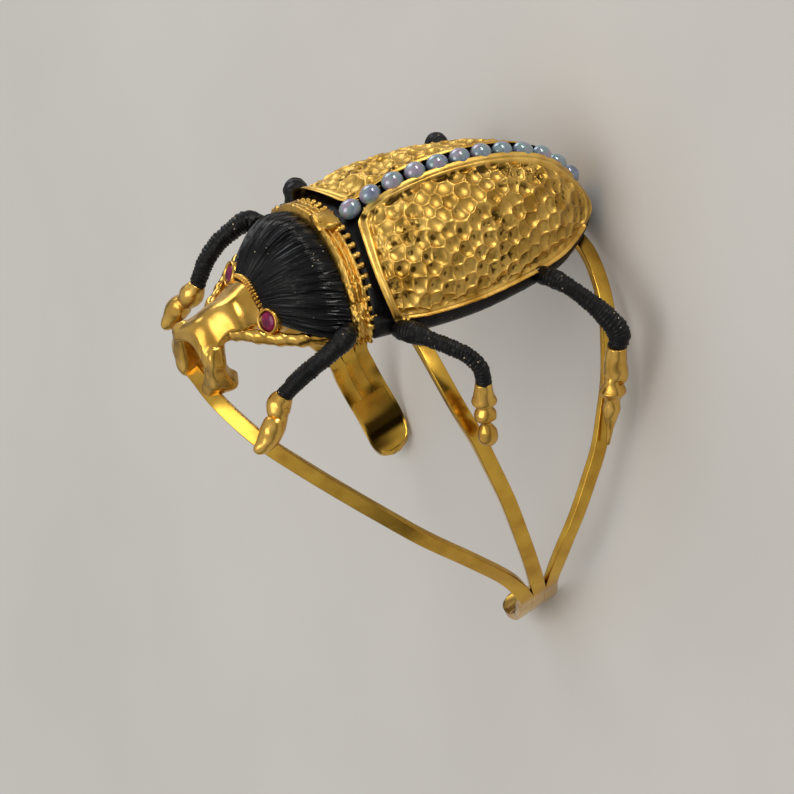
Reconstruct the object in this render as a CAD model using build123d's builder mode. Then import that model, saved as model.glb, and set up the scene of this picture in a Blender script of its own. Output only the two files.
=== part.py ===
from build123d import *
import os
from math import asin, atan2, cos, degrees, pi, radians, sin

os.makedirs("parts", exist_ok=True)

# Scarab bracelet, in millimetres. Every piece is drawn on the standing beetle: its head points
# along +X, its left side along +Y and its back along +Z. The last step lays the bracelet down.

# Fits
GAP = 0.12              # between pieces that seat on each other
STONE_GAP = 0.06        # round a set stone

# Body, wing cases and pearls
BODY_FRONT_X = 15.3     # the black body starts here, behind the collar
BODY_LENGTH = 40.4
BODY_HALF_WIDTH = 14.2
BODY_HEIGHT = 12.7      # from the rim up to the highest point of the wing cases
RIM_Z = -2.0            # lower edge of the wing cases
RIM_DEPTH = 3.2         # black rim that shows below them
RIM_FLARE = 0.5
BODY_WALL = 1.2         # the body is hollow and open underneath
HOLLOW_END = 0.86       # share of the body's length at which the hollow ends
CASE_WALL = 1.0
CASE_CLEARANCE = 0.3    # between a wing case's inside and the body
CASE_FRONT = 0.07       # share of the body's length that is bare before the wing cases start
CASE_END = 0.965
SEAM_HALF = 1.6         # from the seam's middle to the edge of a wing case
BORDER_WIDTH = 0.85     # raised border along the seam and the front edge
BORDER_LIFT = 0.35
PEARL_LENGTH = 3.1
PEARL_WIDTH = 2.4
PEARL_SPACE = 0.14      # between neighbours along the seam
PEARL_COUNT = 12
PEARL_FIRST = 0.069     # share of the body's length at the first pearl's middle

# Collar, and the shield behind the head
COLLAR_LENGTH = 2.6
COLLAR_HALF_WIDTH = 13.3
COLLAR_HEIGHT = 9.9
COLLAR_SKIRT = 3.4      # from the rim down to the collar's base
GROOVE_DEPTH = 0.4
GRANULE_RADIUS = 0.5
GRANULE_COUNT = 17
GRANULE_SWEEP = 74.0    # degrees of the collar's arch on each side of the crest
CREST_WIDTH = 2.6
SHIELD_LENGTH = 9.5
SHIELD_HALF_WIDTH = 12.6
SHIELD_HEIGHT = 9.0
SHIELD_SKIRT = 2.8      # from the rim down to the shield's base

# Head
HEAD_LENGTH = 7.6
HEAD_HALF_WIDTH = 5.6
HEAD_RISE = 1.4         # from the shield's base up to the top of the head
HEAD_DROP = 4.6         # from there down to the underside at the back
MANDIBLE_SIDE = 2.7     # middle of a mandible, off the middle plane
MANDIBLE_WIDTH = 2.6
MANDIBLE_SETBACK = 6.4  # from the front of the head back to a mandible's root
MANDIBLE_REACH = 6.2    # from the root to the foremost bulge
EYE_SETBACK = 0.75      # from the front of the shield back to the middle of an eye
EYE_SIDE = 5.4
EYE_FALL = 0.1          # below the shield's base
EYE_TURN = 16.0         # degrees that an eye looks outwards
EYE_LIFT = 15.0         # degrees that an eye looks up
RUBY_RADIUS = 1.3
RUBY_CROWN = 0.45       # from the girdle up to the table
RUBY_DEPTH = 1.05       # from the girdle down to the point
RUBY_SIDES = 10
BEZEL_WALL = 0.4
BEZEL_DEPTH = 2.4
SIDE_BAR_HEIGHT = 1.3
SIDE_BAR_WIDTH = 1.6

# Legs and feet
HIP_DEPTH = 1.4         # below the rim
HIP_SPACE = 0.4         # between a leg and the flank that carries it
LEG_RADIUS = 1.15
LEG_SIDES = 12
ANKLE_LENGTH = 0.4

# Bars of the cuff
BAR_WIDTH = 2.1
BAR_THICK = 1.2
CUFF_HALF_WIDTH = 28.0  # middle of the bars at the widest place
CUFF_DROP = 49.8        # from the bars under the body down to the tips of the tongues
WRIST_DEPTH = 20.0      # from the same bars down to the middle of the wrist
FRONT_TILT = 0.3        # share of its distance ahead that turns the front bar's face forwards
TONGUE_PITCH = 26.0     # degrees that the tongues lean back

# Wing cases and body, from the front back: shares of its length, half width and height.
BODY_SHAPE = (
    # along, half_width, height
    (0.00, 0.965, 0.520),
    (0.07, 0.965, 0.620),
    (0.17, 1.000, 0.820),
    (0.29, 0.985, 0.937),
    (0.40, 0.945, 0.992),
    (0.52, 0.865, 1.000),
    (0.64, 0.765, 0.953),
    (0.76, 0.625, 0.820),
    (0.86, 0.430, 0.583),
    (0.94, 0.235, 0.283),
    (0.985, 0.100, 0.080),
    (1.00, 0.030, 0.020),
)
# Rim of the body, from the wing cases down: share of the flare, share of the rim's depth.
RIM_SHAPE = (
    # flare, depth
    (0.30, 0.00),
    (1.00, 0.35),
    (0.70, 0.72),
    (-1.00, 1.00),
)
# Shield, from the collar forwards: the columns of the body's table.
SHIELD_SHAPE = (
    (0.00, 1.000, 0.970),
    (0.20, 0.960, 1.000),
    (0.36, 0.890, 0.980),
    (0.56, 0.755, 0.870),
    (0.74, 0.605, 0.700),
    (0.86, 0.475, 0.520),
    (0.94, 0.350, 0.360),
    (1.00, 0.220, 0.250),
)
# Grooves of the collar: share of its length, share of the groove's depth that stands up.
COLLAR_SHAPE = (
    # along, lift
    (0.00, 0.4),
    (0.12, 1.0),
    (0.26, 1.0),
    (0.34, 0.0),
    (0.44, 0.8),
    (0.56, 0.8),
    (0.66, 0.0),
    (0.74, 1.0),
    (0.90, 1.0),
    (1.00, 0.4),
)
# Head from the shield to the mandibles: shares of its length, half width and drop.
HEAD_SHAPE = (
    # along, half_width, top, underside
    (0.00, 1.000, 0.100, 1.000),
    (0.18, 0.960, 0.000, 1.000),
    (0.40, 0.720, 0.150, 0.980),
    (0.62, 0.640, 0.330, 1.020),
    (0.82, 0.760, 0.560, 1.150),
    (1.00, 0.780, 0.860, 1.350),
)
# Section of the head: share of the half width, share of the height over the underside.
HEAD_SECTION = (
    # side, height
    (-1.00, 0.35),
    (-0.75, 0.75),
    (-0.30, 0.92),
    (0.00, 1.00),
    (0.30, 0.92),
    (0.75, 0.75),
    (1.00, 0.35),
    (0.90, 0.00),
    (-0.90, 0.00),
)
# Side outline of a mandible, from its root's upper corner: shares of its reach and its drop.
MANDIBLE_OUTLINE = (
    # reach, drop
    (0.00, 0.00),
    (0.52, 0.04),
    (0.84, 0.22),
    (1.00, 0.40),
    (0.97, 0.64),
    (0.85, 0.87),
    (0.78, 1.00),
    (0.58, 1.00),
    (0.45, 0.91),
    (0.20, 0.86),
    (0.22, 0.76),
    (0.50, 0.68),
    (0.62, 0.54),
    (0.56, 0.39),
    (0.34, 0.29),
    (0.00, 0.30),
)
# Bar beside the head, under the shield: share of the shield's length, and of the way from the
# middle of an eye out to the shield's widest place.
SIDE_BAR_ROUTE = (
    # along, out
    (1.310, -0.139),
    (0.996, 0.208),
    (0.596, 0.486),
    (0.185, 0.722),
)
# Cut stone, from the table down: share of the crown or the depth, share of the radius.
RUBY_SHAPE = (
    # level, radius
    (1.00, 0.58),
    (0.25, 1.00),
    (-0.05, 1.00),
    (-1.00, 0.12),
)
# Routes of legs, feet and bars. Ahead is 0 at the front of the body, 1 at the front of the head
# and -1 at the tail. Drop is a share of the cuff's drop, from the hips or the bars down. Side is
# a share of the way out to the cuff's widest place, from the flank or from the middle plane.
LEG_ROUTES = {
    "front_left": (
        # side, drop, ahead, radius
        (0.000, 0.004, 0.204, 1.30),
        (0.078, 0.002, 0.259, 1.35),
        (0.105, 0.025, 0.349, 1.17),
        (0.098, 0.058, 0.449, 1.13),
        (0.046, 0.112, 0.548, 1.09),
        (-0.013, 0.169, 0.608, 1.00),
    ),
    "front_right": (
        (0.000, 0.004, 0.204, 1.30),
        (0.050, 0.002, 0.262, 1.35),
        (0.065, 0.027, 0.352, 1.17),
        (0.070, 0.061, 0.449, 1.13),
        (0.034, 0.114, 0.548, 1.09),
        (-0.013, 0.169, 0.608, 1.00),
    ),
    "middle_left": (
        (0.000, 0.000, -0.077, 1.22),
        (0.146, -0.014, -0.092, 1.35),
        (0.332, -0.022, -0.121, 1.00),
        (0.517, -0.025, -0.158, 1.00),
        (0.666, -0.016, -0.198, 1.00),
        (0.777, 0.010, -0.228, 1.00),
        (0.829, 0.052, -0.238, 0.96),
    ),
    "middle_right": (
        (0.000, 0.000, -0.077, 1.22),
        (0.095, -0.018, -0.087, 1.45),
        (0.170, -0.010, -0.101, 1.45),
        (0.200, 0.020, -0.109, 1.20),
        (0.207, 0.056, -0.109, 1.10),
        (0.222, 0.088, -0.111, 1.00),
    ),
    "hind_left": (
        (0.000, -0.010, -0.656, 1.13),
        (0.102, -0.022, -0.668, 1.22),
        (0.257, -0.022, -0.696, 1.04),
        (0.449, -0.004, -0.739, 1.17),
        (0.593, 0.025, -0.778, 1.35),
        (0.677, 0.058, -0.802, 1.39),
        (0.707, 0.090, -0.790, 1.13),
    ),
    "hind_right": (
        (0.000, -0.010, -0.656, 1.13),
        (0.102, -0.022, -0.658, 1.22),
        (0.259, -0.028, -0.666, 1.04),
        (0.398, -0.026, -0.676, 1.17),
        (0.518, -0.010, -0.691, 1.35),
        (0.614, 0.030, -0.723, 1.39),
        (0.675, 0.084, -0.760, 1.13),
    ),
}
FOOT_ROUTES = {
    "front_left": (
        # side, drop, ahead, radius
        (-0.013, 0.191, 0.633, 1.39),
        (0.013, 0.211, 0.648, 1.35),
        (0.039, 0.227, 0.656, 1.17),
        (0.065, 0.242, 0.689, 1.35),
        (0.092, 0.263, 0.722, 1.35),
        (0.105, 0.286, 0.762, 1.13),
        (0.105, 0.305, 0.802, 0.91),
        (0.105, 0.317, 0.812, 0.52),
    ),
    "front_right": (
        (-0.013, 0.191, 0.633, 1.39),
        (0.013, 0.211, 0.648, 1.35),
        (0.039, 0.227, 0.656, 1.17),
        (0.065, 0.245, 0.677, 1.35),
        (0.092, 0.269, 0.698, 1.35),
        (0.105, 0.295, 0.726, 1.13),
        (0.105, 0.317, 0.757, 0.91),
        (0.105, 0.329, 0.767, 0.52),
    ),
    "middle_left": (
        (0.852, 0.085, -0.240, 1.26),
        (0.866, 0.106, -0.243, 1.39),
        (0.874, 0.117, -0.245, 1.00),
        (0.889, 0.137, -0.248, 1.26),
        (0.903, 0.155, -0.250, 1.26),
        (0.918, 0.167, -0.252, 0.83),
        (0.938, 0.192, -0.257, 1.17),
        (0.950, 0.221, -0.264, 1.13),
        (0.953, 0.241, -0.268, 0.52),
    ),
    "middle_right": (
        (0.267, 0.129, -0.116, 1.30),
        (0.319, 0.149, -0.124, 1.30),
        (0.379, 0.167, -0.134, 1.10),
        (0.424, 0.179, -0.141, 1.00),
        (0.469, 0.191, -0.146, 0.60),
    ),
    "hind_left": (
        (0.725, 0.141, -0.794, 1.35),
        (0.743, 0.181, -0.800, 1.39),
        (0.754, 0.193, -0.786, 1.00),
        (0.772, 0.221, -0.788, 1.26),
        (0.790, 0.245, -0.788, 1.04),
        (0.808, 0.277, -0.787, 1.13),
        (0.838, 0.321, -0.784, 0.78),
        (0.888, 0.379, -0.776, 0.52),
    ),
    "hind_right": (
        (0.712, 0.148, -0.785, 1.35),
        (0.735, 0.186, -0.798, 1.39),
        (0.754, 0.198, -0.786, 1.00),
        (0.772, 0.223, -0.788, 1.26),
        (0.790, 0.247, -0.788, 1.04),
        (0.808, 0.277, -0.787, 1.13),
        (0.838, 0.321, -0.784, 0.78),
        (0.888, 0.379, -0.776, 0.52),
    ),
}
FRONT_BAR = (
    # side, drop, ahead
    (0.000, 0.224, 0.872),
    (0.155, 0.224, 0.872),
    (0.300, 0.243, 0.808),
    (0.446, 0.275, 0.693),
    (0.564, 0.313, 0.533),
    (0.689, 0.365, 0.319),
    (0.814, 0.424, 0.075),
    (0.911, 0.502, -0.106),
    (0.968, 0.604, -0.292),
    (0.984, 0.700, -0.441),
)
MIDDLE_BAR = (
    (0.000, 0.000, -0.168),
    (0.290, 0.000, -0.167),
    (0.465, 0.007, -0.162),
    (0.590, 0.026, -0.164),
    (0.714, 0.070, -0.181),
    (0.814, 0.130, -0.213),
    (0.893, 0.215, -0.270),
    (0.946, 0.290, -0.312),
    (0.982, 0.389, -0.371),
    (1.000, 0.490, -0.426),
    (0.999, 0.644, -0.510),
)
REAR_BAR = (
    (0.000, 0.000, -0.936),
    (0.180, 0.007, -0.938),
    (0.357, 0.030, -0.915),
    (0.500, 0.063, -0.888),
    (0.600, 0.102, -0.864),
    (0.743, 0.186, -0.820),
    (0.821, 0.271, -0.800),
    (0.893, 0.353, -0.757),
    (0.939, 0.435, -0.724),
    (0.982, 0.527, -0.668),
    (1.000, 0.622, -0.641),
)
TONGUE = (
    # side, drop, ahead, width
    (0.971, 0.773, -0.577, 1.00),
    (0.932, 0.821, -0.599, 1.00),
    (0.879, 0.877, -0.631, 1.00),
    (0.814, 0.927, -0.661, 1.00),
    (0.750, 0.961, -0.676, 1.00),
    (0.686, 0.980, -0.678, 0.94),
    (0.632, 0.988, -0.676, 0.70),
    (0.604, 0.992, -0.673, 0.20),
)
ARCH_POWER = 1.2        # roundness of the domed sections; 1 is an ellipse
ARCH_POINT_COUNT = 19
CASE_COLUMN_COUNT = 9
SEAM_TURN_LIMIT = 0.99   # sine of the widest turn that the seam and its border take up at the tail
CROWN_STEP_COUNT = 400
REST_TRY_COUNT = 8
TINY = 1e-7

# Places that follow from the sizes
CASE_COVER = CASE_WALL + CASE_CLEARANCE
COLLAR_REAR_X = BODY_FRONT_X + GAP
SHIELD_REAR_X = COLLAR_REAR_X + COLLAR_LENGTH + GAP
SHIELD_FRONT_X = SHIELD_REAR_X + SHIELD_LENGTH
HEAD_REAR_X = SHIELD_FRONT_X + GAP
HEAD_FRONT_X = HEAD_REAR_X + HEAD_LENGTH
COLLAR_BASE_Z = RIM_Z - COLLAR_SKIRT
COLLAR_CROWN_Z = COLLAR_BASE_Z + COLLAR_HEIGHT
SHIELD_BASE_Z = RIM_Z - SHIELD_SKIRT
HEAD_TOP_Z = SHIELD_BASE_Z + HEAD_RISE
HIP_Z = RIM_Z - HIP_DEPTH
BAR_TOP_Z = RIM_Z - RIM_DEPTH - GAP - BAR_THICK / 2


def smooth(rows, along, column):
    """Value of a table's column at a share of the length, on a curve through its rows."""
    last = len(rows) - 2
    i = min(max(k for k in range(len(rows)) if rows[k][0] <= along + TINY), last)
    before, after = rows[max(i - 1, 0)], rows[min(i + 2, last + 1)]
    low, high = rows[i], rows[i + 1]
    span = high[0] - low[0]
    t = (along - low[0]) / span
    start = (high[column] - before[column]) / (high[0] - before[0]) * span
    end = (after[column] - low[column]) / (after[0] - low[0]) * span
    return (
        (2 * t**3 - 3 * t**2 + 1) * low[column]
        + (t**3 - 2 * t**2 + t) * start
        + (3 * t**2 - 2 * t**3) * high[column]
        + (t**3 - t**2) * end
    )


def steps(first, last, count):
    """Evenly spaced values from the first to the last."""
    return [first + (last - first) * i / (count - 1) for i in range(count)]


def patch(corners):
    """Flat triangle, or nothing where two of its corners meet."""
    a, b, c = corners
    area = (b - a).cross(c - a).length
    return [Face(Wire.make_polygon([a, b, c]))] if area > TINY else []


def between(one, other):
    """Triangles that join two rows of points of equal length."""
    faces = []
    for i in range(len(one) - 1):
        faces += patch((one[i], other[i], other[i + 1]))
        faces += patch((one[i], other[i + 1], one[i + 1]))
    return faces


def skin(rings):
    """Closed solid through a row of closed rings, with a flat fan over each end."""
    faces = []
    for one, other in zip(rings, rings[1:]):
        faces += between(one + one[:1], other + other[:1])
    for ring in (rings[0], rings[-1]):
        middle = sum(ring, Vector(0, 0, 0)) / len(ring)
        for i in range(len(ring)):
            faces += patch((ring[i], ring[(i + 1) % len(ring)], middle))
    return Solid(Shell(faces))


def slab(outer, inner):
    """Closed solid between two grids of points that lie one over the other."""
    faces = []
    for grid in (outer, inner):
        for one, other in zip(grid, grid[1:]):
            faces += between(one, other)
    faces += between(outer[0], inner[0]) + between(outer[-1], inner[-1])
    for side in (0, -1):
        faces += between([row[side] for row in outer], [row[side] for row in inner])
    return Solid(Shell(faces))


def tube(path, radii, start):
    """Round solid along a row of points, with a radius at each; start is its first direction."""
    rings = []
    up = Vector(0, 0, 1)
    for i, (point, radius) in enumerate(zip(path, radii)):
        along = (path[min(i + 1, len(path) - 1)] - path[i - 1]).normalized() if i else start
        across = along.cross(up).normalized()
        up = across.cross(along)
        turns = [2 * pi * k / LEG_SIDES for k in range(LEG_SIDES)]
        rings.append([point + (across * cos(a) + up * sin(a)) * radius for a in turns])
    return skin(rings)


def mirrored(point, side):
    """A left-hand point, on the given side of the middle plane."""
    return Vector(point.X, point.Y * side, point.Z)


def ahead_x(ahead):
    """Place along the beetle: 1 at the front of the head, 0 at the body's front, -1 at the tail."""
    reach = HEAD_FRONT_X - BODY_FRONT_X if ahead > 0 else BODY_LENGTH
    return BODY_FRONT_X + ahead * reach


def dome(along, turn, inset):
    """Point of the wing cases' dome; turn is 0 at the seam and 90 degrees at the outer edge."""
    width = smooth(BODY_SHAPE, along, 1) * (BODY_HALF_WIDTH - inset)
    height = smooth(BODY_SHAPE, along, 2) * (BODY_HEIGHT - inset)
    return Vector(
        BODY_FRONT_X - along * (BODY_LENGTH - inset),
        width * sin(turn),
        RIM_Z + height * abs(cos(turn)) ** ARCH_POWER,
    )


def case_turns(along):
    """Turns from the seam to the outer edge: the raised border's three, then even steps."""
    half = smooth(BODY_SHAPE, along, 1) * BODY_HALF_WIDTH
    seams = (SEAM_HALF, SEAM_HALF + BORDER_WIDTH, SEAM_HALF + BORDER_WIDTH + BORDER_LIFT)
    border = [asin(min(y / half, SEAM_TURN_LIMIT)) for y in seams]
    return border + steps(border[-1], pi / 2, CASE_COLUMN_COUNT - 2)[1:]


# Rows along the body, with two more for the raised border at the front of the wing cases
border_end = CASE_FRONT + BORDER_WIDTH / BODY_LENGTH
border_foot = border_end + BORDER_LIFT / BODY_LENGTH
shape_rows = [row[0] for row in BODY_SHAPE]
case_rows = [CASE_FRONT, border_end, border_foot]
case_rows += [row for row in shape_rows if border_foot < row < CASE_END] + [CASE_END]
body_rows = [row for row in shape_rows if row < CASE_FRONT] + case_rows
body_rows += [row for row in shape_rows if row > CASE_END]

# Black body under the wing cases; its facets run parallel to theirs
body_rings = []
for along in body_rows:
    turns = case_turns(along)
    turns = [-turn for turn in reversed(turns)] + [0.0] + turns
    top = [dome(along, turn, CASE_COVER) for turn in turns]
    rim_x = BODY_FRONT_X - along * BODY_LENGTH
    rim_half = smooth(BODY_SHAPE, along, 1) * BODY_HALF_WIDTH
    rim = [(top[-1].Y, 0.0)]
    rim += [(rim_half + flare * RIM_FLARE, depth) for flare, depth in RIM_SHAPE]
    left = [Vector(rim_x, y, RIM_Z - GAP - z * (RIM_DEPTH - GAP)) for y, z in rim]
    body_rings.append(top + left + [mirrored(point, -1) for point in reversed(left)])
hollow_inset = CASE_COVER + BODY_WALL
hollow_front = BODY_WALL / BODY_LENGTH
hollow_rows = [hollow_front] + [row for row in shape_rows if hollow_front < row <= HOLLOW_END]
hollow_rings = []
for along in hollow_rows:
    top = [dome(along, radians(a), hollow_inset) for a in steps(-90, 90, ARCH_POINT_COUNT)]
    mouth = [Vector(point.X, point.Y, RIM_Z - RIM_DEPTH - BODY_WALL) for point in (top[-1], top[0])]
    hollow_rings.append(top + mouth)
with BuildPart() as abdomen:
    add(skin(body_rings))
    add(skin(hollow_rings), mode=Mode.SUBTRACT)

# Wing cases, thin domed shells with a raised border along the seam and the front
wing_cases = {}
for name, side in (("left", 1), ("right", -1)):
    outer, inner = [], []
    for i, along in enumerate(case_rows):
        turns = case_turns(along)
        raised = [BORDER_LIFT * cos(a) if min(i, j) < 2 else 0.0 for j, a in enumerate(turns)]
        points = [dome(along, a, 0.0) + Vector(0, 0, up) for a, up in zip(turns, raised)]
        outer.append([mirrored(point, side) for point in points])
        inner.append([mirrored(dome(along, a, CASE_WALL), side) for a in turns])
    with BuildPart() as wing_case:
        add(slab(outer, inner))
    wing_cases[f"elytron_{name}"] = wing_case

# Pearls in the channel along the seam, one pitch after another along its curve
pearls = {}
crown = [dome(along, 0.0, CASE_COVER) for along in steps(PEARL_FIRST, 1.0, CROWN_STEP_COUNT)]
travelled = 0.0
for here, ahead in zip(crown, crown[1:]):
    if len(pearls) < PEARL_COUNT and travelled >= len(pearls) * (PEARL_LENGTH + PEARL_SPACE):
        run = (here - ahead).normalized()
        middle = here + run.cross(Vector(0, 1, 0)) * (PEARL_WIDTH / 2 + GAP)
        with BuildPart() as pearl:
            with BuildSketch(Plane(origin=middle, x_dir=run, z_dir=Vector(0, -1, 0))):
                Ellipse(PEARL_LENGTH / 2, PEARL_WIDTH / 2)
                half = Align.CENTER, Align.MAX
                Rectangle(PEARL_LENGTH, PEARL_WIDTH, align=half, mode=Mode.SUBTRACT)
            revolve(axis=Axis(middle, run))
        pearls[f"pearl_{len(pearls) + 1:02d}"] = pearl
    travelled += (ahead - here).length


def arch(half_width, crown_z, base_z):
    """Points of an arched section from one side to the other, as (y, z)."""
    turns = [radians(a) for a in steps(-90, 90, ARCH_POINT_COUNT)]
    height = crown_z - base_z
    return [(half_width * sin(a), base_z + height * abs(cos(a)) ** ARCH_POWER) for a in turns]


# Collar with its grooves, crest and granules
collar_rings = []
for along, lift in COLLAR_SHAPE:
    rise = GROOVE_DEPTH * lift
    points = arch(COLLAR_HALF_WIDTH + rise, COLLAR_CROWN_Z + rise, COLLAR_BASE_Z)
    collar_rings.append([Vector(COLLAR_REAR_X + along * COLLAR_LENGTH, y, z) for y, z in points])
granule_places = []
for a in steps(-GRANULE_SWEEP, GRANULE_SWEEP, GRANULE_COUNT):
    y = COLLAR_HALF_WIDTH * sin(radians(a))
    z = COLLAR_BASE_Z + COLLAR_HEIGHT * cos(radians(a)) ** ARCH_POWER
    granule_places.append((COLLAR_REAR_X + GRANULE_RADIUS, y, z + GROOVE_DEPTH))
with BuildPart() as collar:
    add(skin(collar_rings))
    with BuildSketch(Plane.YZ.offset(COLLAR_REAR_X + GRANULE_RADIUS)):
        with Locations((0, COLLAR_CROWN_Z)):
            Triangle(a=CREST_WIDTH, b=CREST_WIDTH, c=CREST_WIDTH, align=(Align.CENTER, Align.MIN))
    extrude(amount=COLLAR_LENGTH / 2)
    with Locations(*granule_places):
        Sphere(GRANULE_RADIUS)


def eye_plane(side):
    """Plane across an eye's axis, through the middle of the stone's girdle."""
    turn, lift = radians(EYE_TURN), radians(EYE_LIFT)
    looks = Vector(cos(turn) * cos(lift), side * sin(turn) * cos(lift), sin(lift))
    place = (SHIELD_FRONT_X - EYE_SETBACK, side * EYE_SIDE, SHIELD_BASE_Z - EYE_FALL)
    return Plane(origin=place, x_dir=(0, 0, 1), z_dir=looks)


# Black shield behind the head, with room for the eyes' bezels
shield_rings = []
for along, half_share, height_share in SHIELD_SHAPE:
    crown_z = SHIELD_BASE_Z + height_share * SHIELD_HEIGHT
    points = arch(half_share * SHIELD_HALF_WIDTH, crown_z, SHIELD_BASE_Z)
    shield_rings.append([Vector(SHIELD_REAR_X + along * SHIELD_LENGTH, y, z) for y, z in points])
with BuildPart() as pronotum:
    add(skin(shield_rings))
    for side in (1, -1):
        with BuildSketch(eye_plane(side).offset(RUBY_CROWN)):
            Circle(RUBY_RADIUS + BEZEL_WALL + GAP)
        extrude(amount=-(BEZEL_DEPTH + GAP), mode=Mode.SUBTRACT)


def bar_middle(row):
    """Middle of a bar at one row of its table, on the left side."""
    side, drop, ahead = row[:3]
    return Vector(ahead_x(ahead), side * CUFF_HALF_WIDTH, BAR_TOP_Z - drop * CUFF_DROP)


def bar_stations(path, tilt, across_tongue=None):
    """Middle, direction across and outward direction at each point of a bar."""
    stations = []
    for i, middle in enumerate(path):
        ahead, behind = path[min(i + 1, len(path) - 1)], path[max(i - 1, 0)]
        along = Vector(0, 1, 0) if middle.Y < TINY else (ahead - behind).normalized()
        out = Vector(tilt * middle.X, middle.Y, middle.Z - BAR_TOP_Z + WRIST_DEPTH)
        across = along.cross(out).normalized() if across_tongue is None else across_tongue
        across = across * (1 if across.X > 0 else -1)
        square = along.cross(across).normalized()
        stations.append((middle, across, square * (1 if square.dot(out) > 0 else -1)))
    return stations


lean = radians(TONGUE_PITCH)
tongue_path = [bar_middle(row) for row in TONGUE]
tongue = bar_stations(tongue_path, 0.0, Vector(cos(lean), 0.0, -sin(lean)))
bars = []
for slot, table, tilt in ((1, FRONT_BAR, FRONT_TILT), (0, MIDDLE_BAR, 0.0), (-1, REAR_BAR, 0.0)):
    crotch = tongue[0][0] + tongue[0][1] * (BAR_WIDTH * slot)
    path = [bar_middle(row) for row in table] + [crotch]
    bars.append((slot, bar_stations(path, tilt)[:-1]))


def bar_lines(slot, free, edge, side):
    """Outer and inner corner lines along one edge of a bar, down to the tongue's tip."""
    rows = [(middle, across * (BAR_WIDTH * edge / 2), out) for middle, across, out in free]
    for (middle, across, out), (*_, share) in zip(tongue, TONGUE):
        rows.append((middle, across * (BAR_WIDTH * (slot + edge / 2) * share), out))
    outer = [mirrored(middle + offset + out * (BAR_THICK / 2), side) for middle, offset, out in rows]
    inner = [mirrored(middle + offset - out * (BAR_THICK / 2), side) for middle, offset, out in rows]
    return outer, inner


# Cuff: three bars, each from one tongue to the other, that run side by side in the tongues
cuff_faces = []
for slot, free in bars:
    open_rows = len(free) + 1
    for side in (1, -1):
        rear_outer, rear_inner = bar_lines(slot, free, -1, side)
        front_outer, front_inner = bar_lines(slot, free, 1, side)
        cuff_faces += between(rear_outer, front_outer) + between(rear_inner, front_inner)
        rear_rows = len(rear_outer) if slot == -1 else open_rows
        front_rows = len(rear_outer) if slot == 1 else open_rows
        cuff_faces += between(rear_outer[:rear_rows], rear_inner[:rear_rows])
        cuff_faces += between(front_outer[:front_rows], front_inner[:front_rows])
        cuff_faces += between([rear_outer[-1], front_outer[-1]], [rear_inner[-1], front_inner[-1]])
with BuildPart() as cuff:
    add(Solid(Shell(cuff_faces)))

# Head: middle casting, side bars, mandibles that end on the front bar, and eye bezels
head_rings = []
for along, half_share, top_share, underside_share in HEAD_SHAPE:
    x = HEAD_REAR_X + along * HEAD_LENGTH
    underside_z = HEAD_TOP_Z - underside_share * HEAD_DROP
    height = (underside_share - top_share) * HEAD_DROP
    half = half_share * HEAD_HALF_WIDTH
    head_rings.append([Vector(x, half * y, underside_z + height * z) for y, z in HEAD_SECTION])
bar_here, bar_across, bar_out = bars[0][1][0]
bar_rise = bar_out.Z * BAR_THICK / 2 - bar_across.Z * BAR_WIDTH / 2
mandible_top_z = SHIELD_BASE_Z - EYE_FALL
mandible_drop = mandible_top_z - (bar_here.Z + bar_rise + GAP)
mandible_x = HEAD_FRONT_X - MANDIBLE_SETBACK
mandible_outline = [
    (mandible_x + reach * MANDIBLE_REACH, mandible_top_z - drop * mandible_drop)
    for reach, drop in MANDIBLE_OUTLINE
]
side_bar_z = SHIELD_BASE_Z - GAP - SIDE_BAR_HEIGHT
side_bar_route = [
    (SHIELD_REAR_X + along * SHIELD_LENGTH, EYE_SIDE + out * (SHIELD_HALF_WIDTH - EYE_SIDE))
    for along, out in SIDE_BAR_ROUTE
]
with BuildPart() as head:
    add(skin(head_rings))
    for side in (1, -1):
        with BuildSketch(Plane.XY.offset(side_bar_z)):
            with BuildLine():
                Polyline(*[(x, side * y) for x, y in side_bar_route])
            trace(line_width=SIDE_BAR_WIDTH)
        extrude(amount=SIDE_BAR_HEIGHT)
        with BuildSketch(Plane.XZ.offset(-side * MANDIBLE_SIDE)):
            with BuildLine():
                Polyline(*mandible_outline, close=True)
            make_face()
        extrude(amount=MANDIBLE_WIDTH / 2, both=True)
        with BuildSketch(eye_plane(side).offset(RUBY_CROWN)):
            Circle(RUBY_RADIUS + BEZEL_WALL)
        extrude(amount=-BEZEL_DEPTH)
    for side in (1, -1):
        with BuildSketch(eye_plane(side).offset(RUBY_CROWN)):
            Circle(RUBY_RADIUS + STONE_GAP)
        extrude(amount=-(RUBY_CROWN + RUBY_DEPTH + STONE_GAP), mode=Mode.SUBTRACT)

# Cut eyes: a flat table, a crown of facets, a thin girdle and a pointed base
rubies = {}
for name, side in (("left", 1), ("right", -1)):
    seat = eye_plane(side)
    stone = []
    for level, radius_share in RUBY_SHAPE:
        middle = seat.origin + seat.z_dir * (level * (RUBY_CROWN if level > 0 else RUBY_DEPTH))
        radius = radius_share * RUBY_RADIUS
        turns = [2 * pi * k / RUBY_SIDES for k in range(RUBY_SIDES)]
        stone.append([middle + (seat.x_dir * cos(a) + seat.y_dir * sin(a)) * radius for a in turns])
    with BuildPart() as ruby:
        add(skin(stone))
    rubies[f"ruby_{name}"] = ruby


def flank(ahead):
    """Half width of the shield or the body where a leg leaves it, with the leg's space."""
    if ahead > 0:
        along = (ahead_x(ahead) - SHIELD_REAR_X) / SHIELD_LENGTH
        return smooth(SHIELD_SHAPE, along, 1) * SHIELD_HALF_WIDTH + HIP_SPACE
    return smooth(BODY_SHAPE, -ahead, 1) * BODY_HALF_WIDTH + RIM_FLARE + HIP_SPACE


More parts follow.
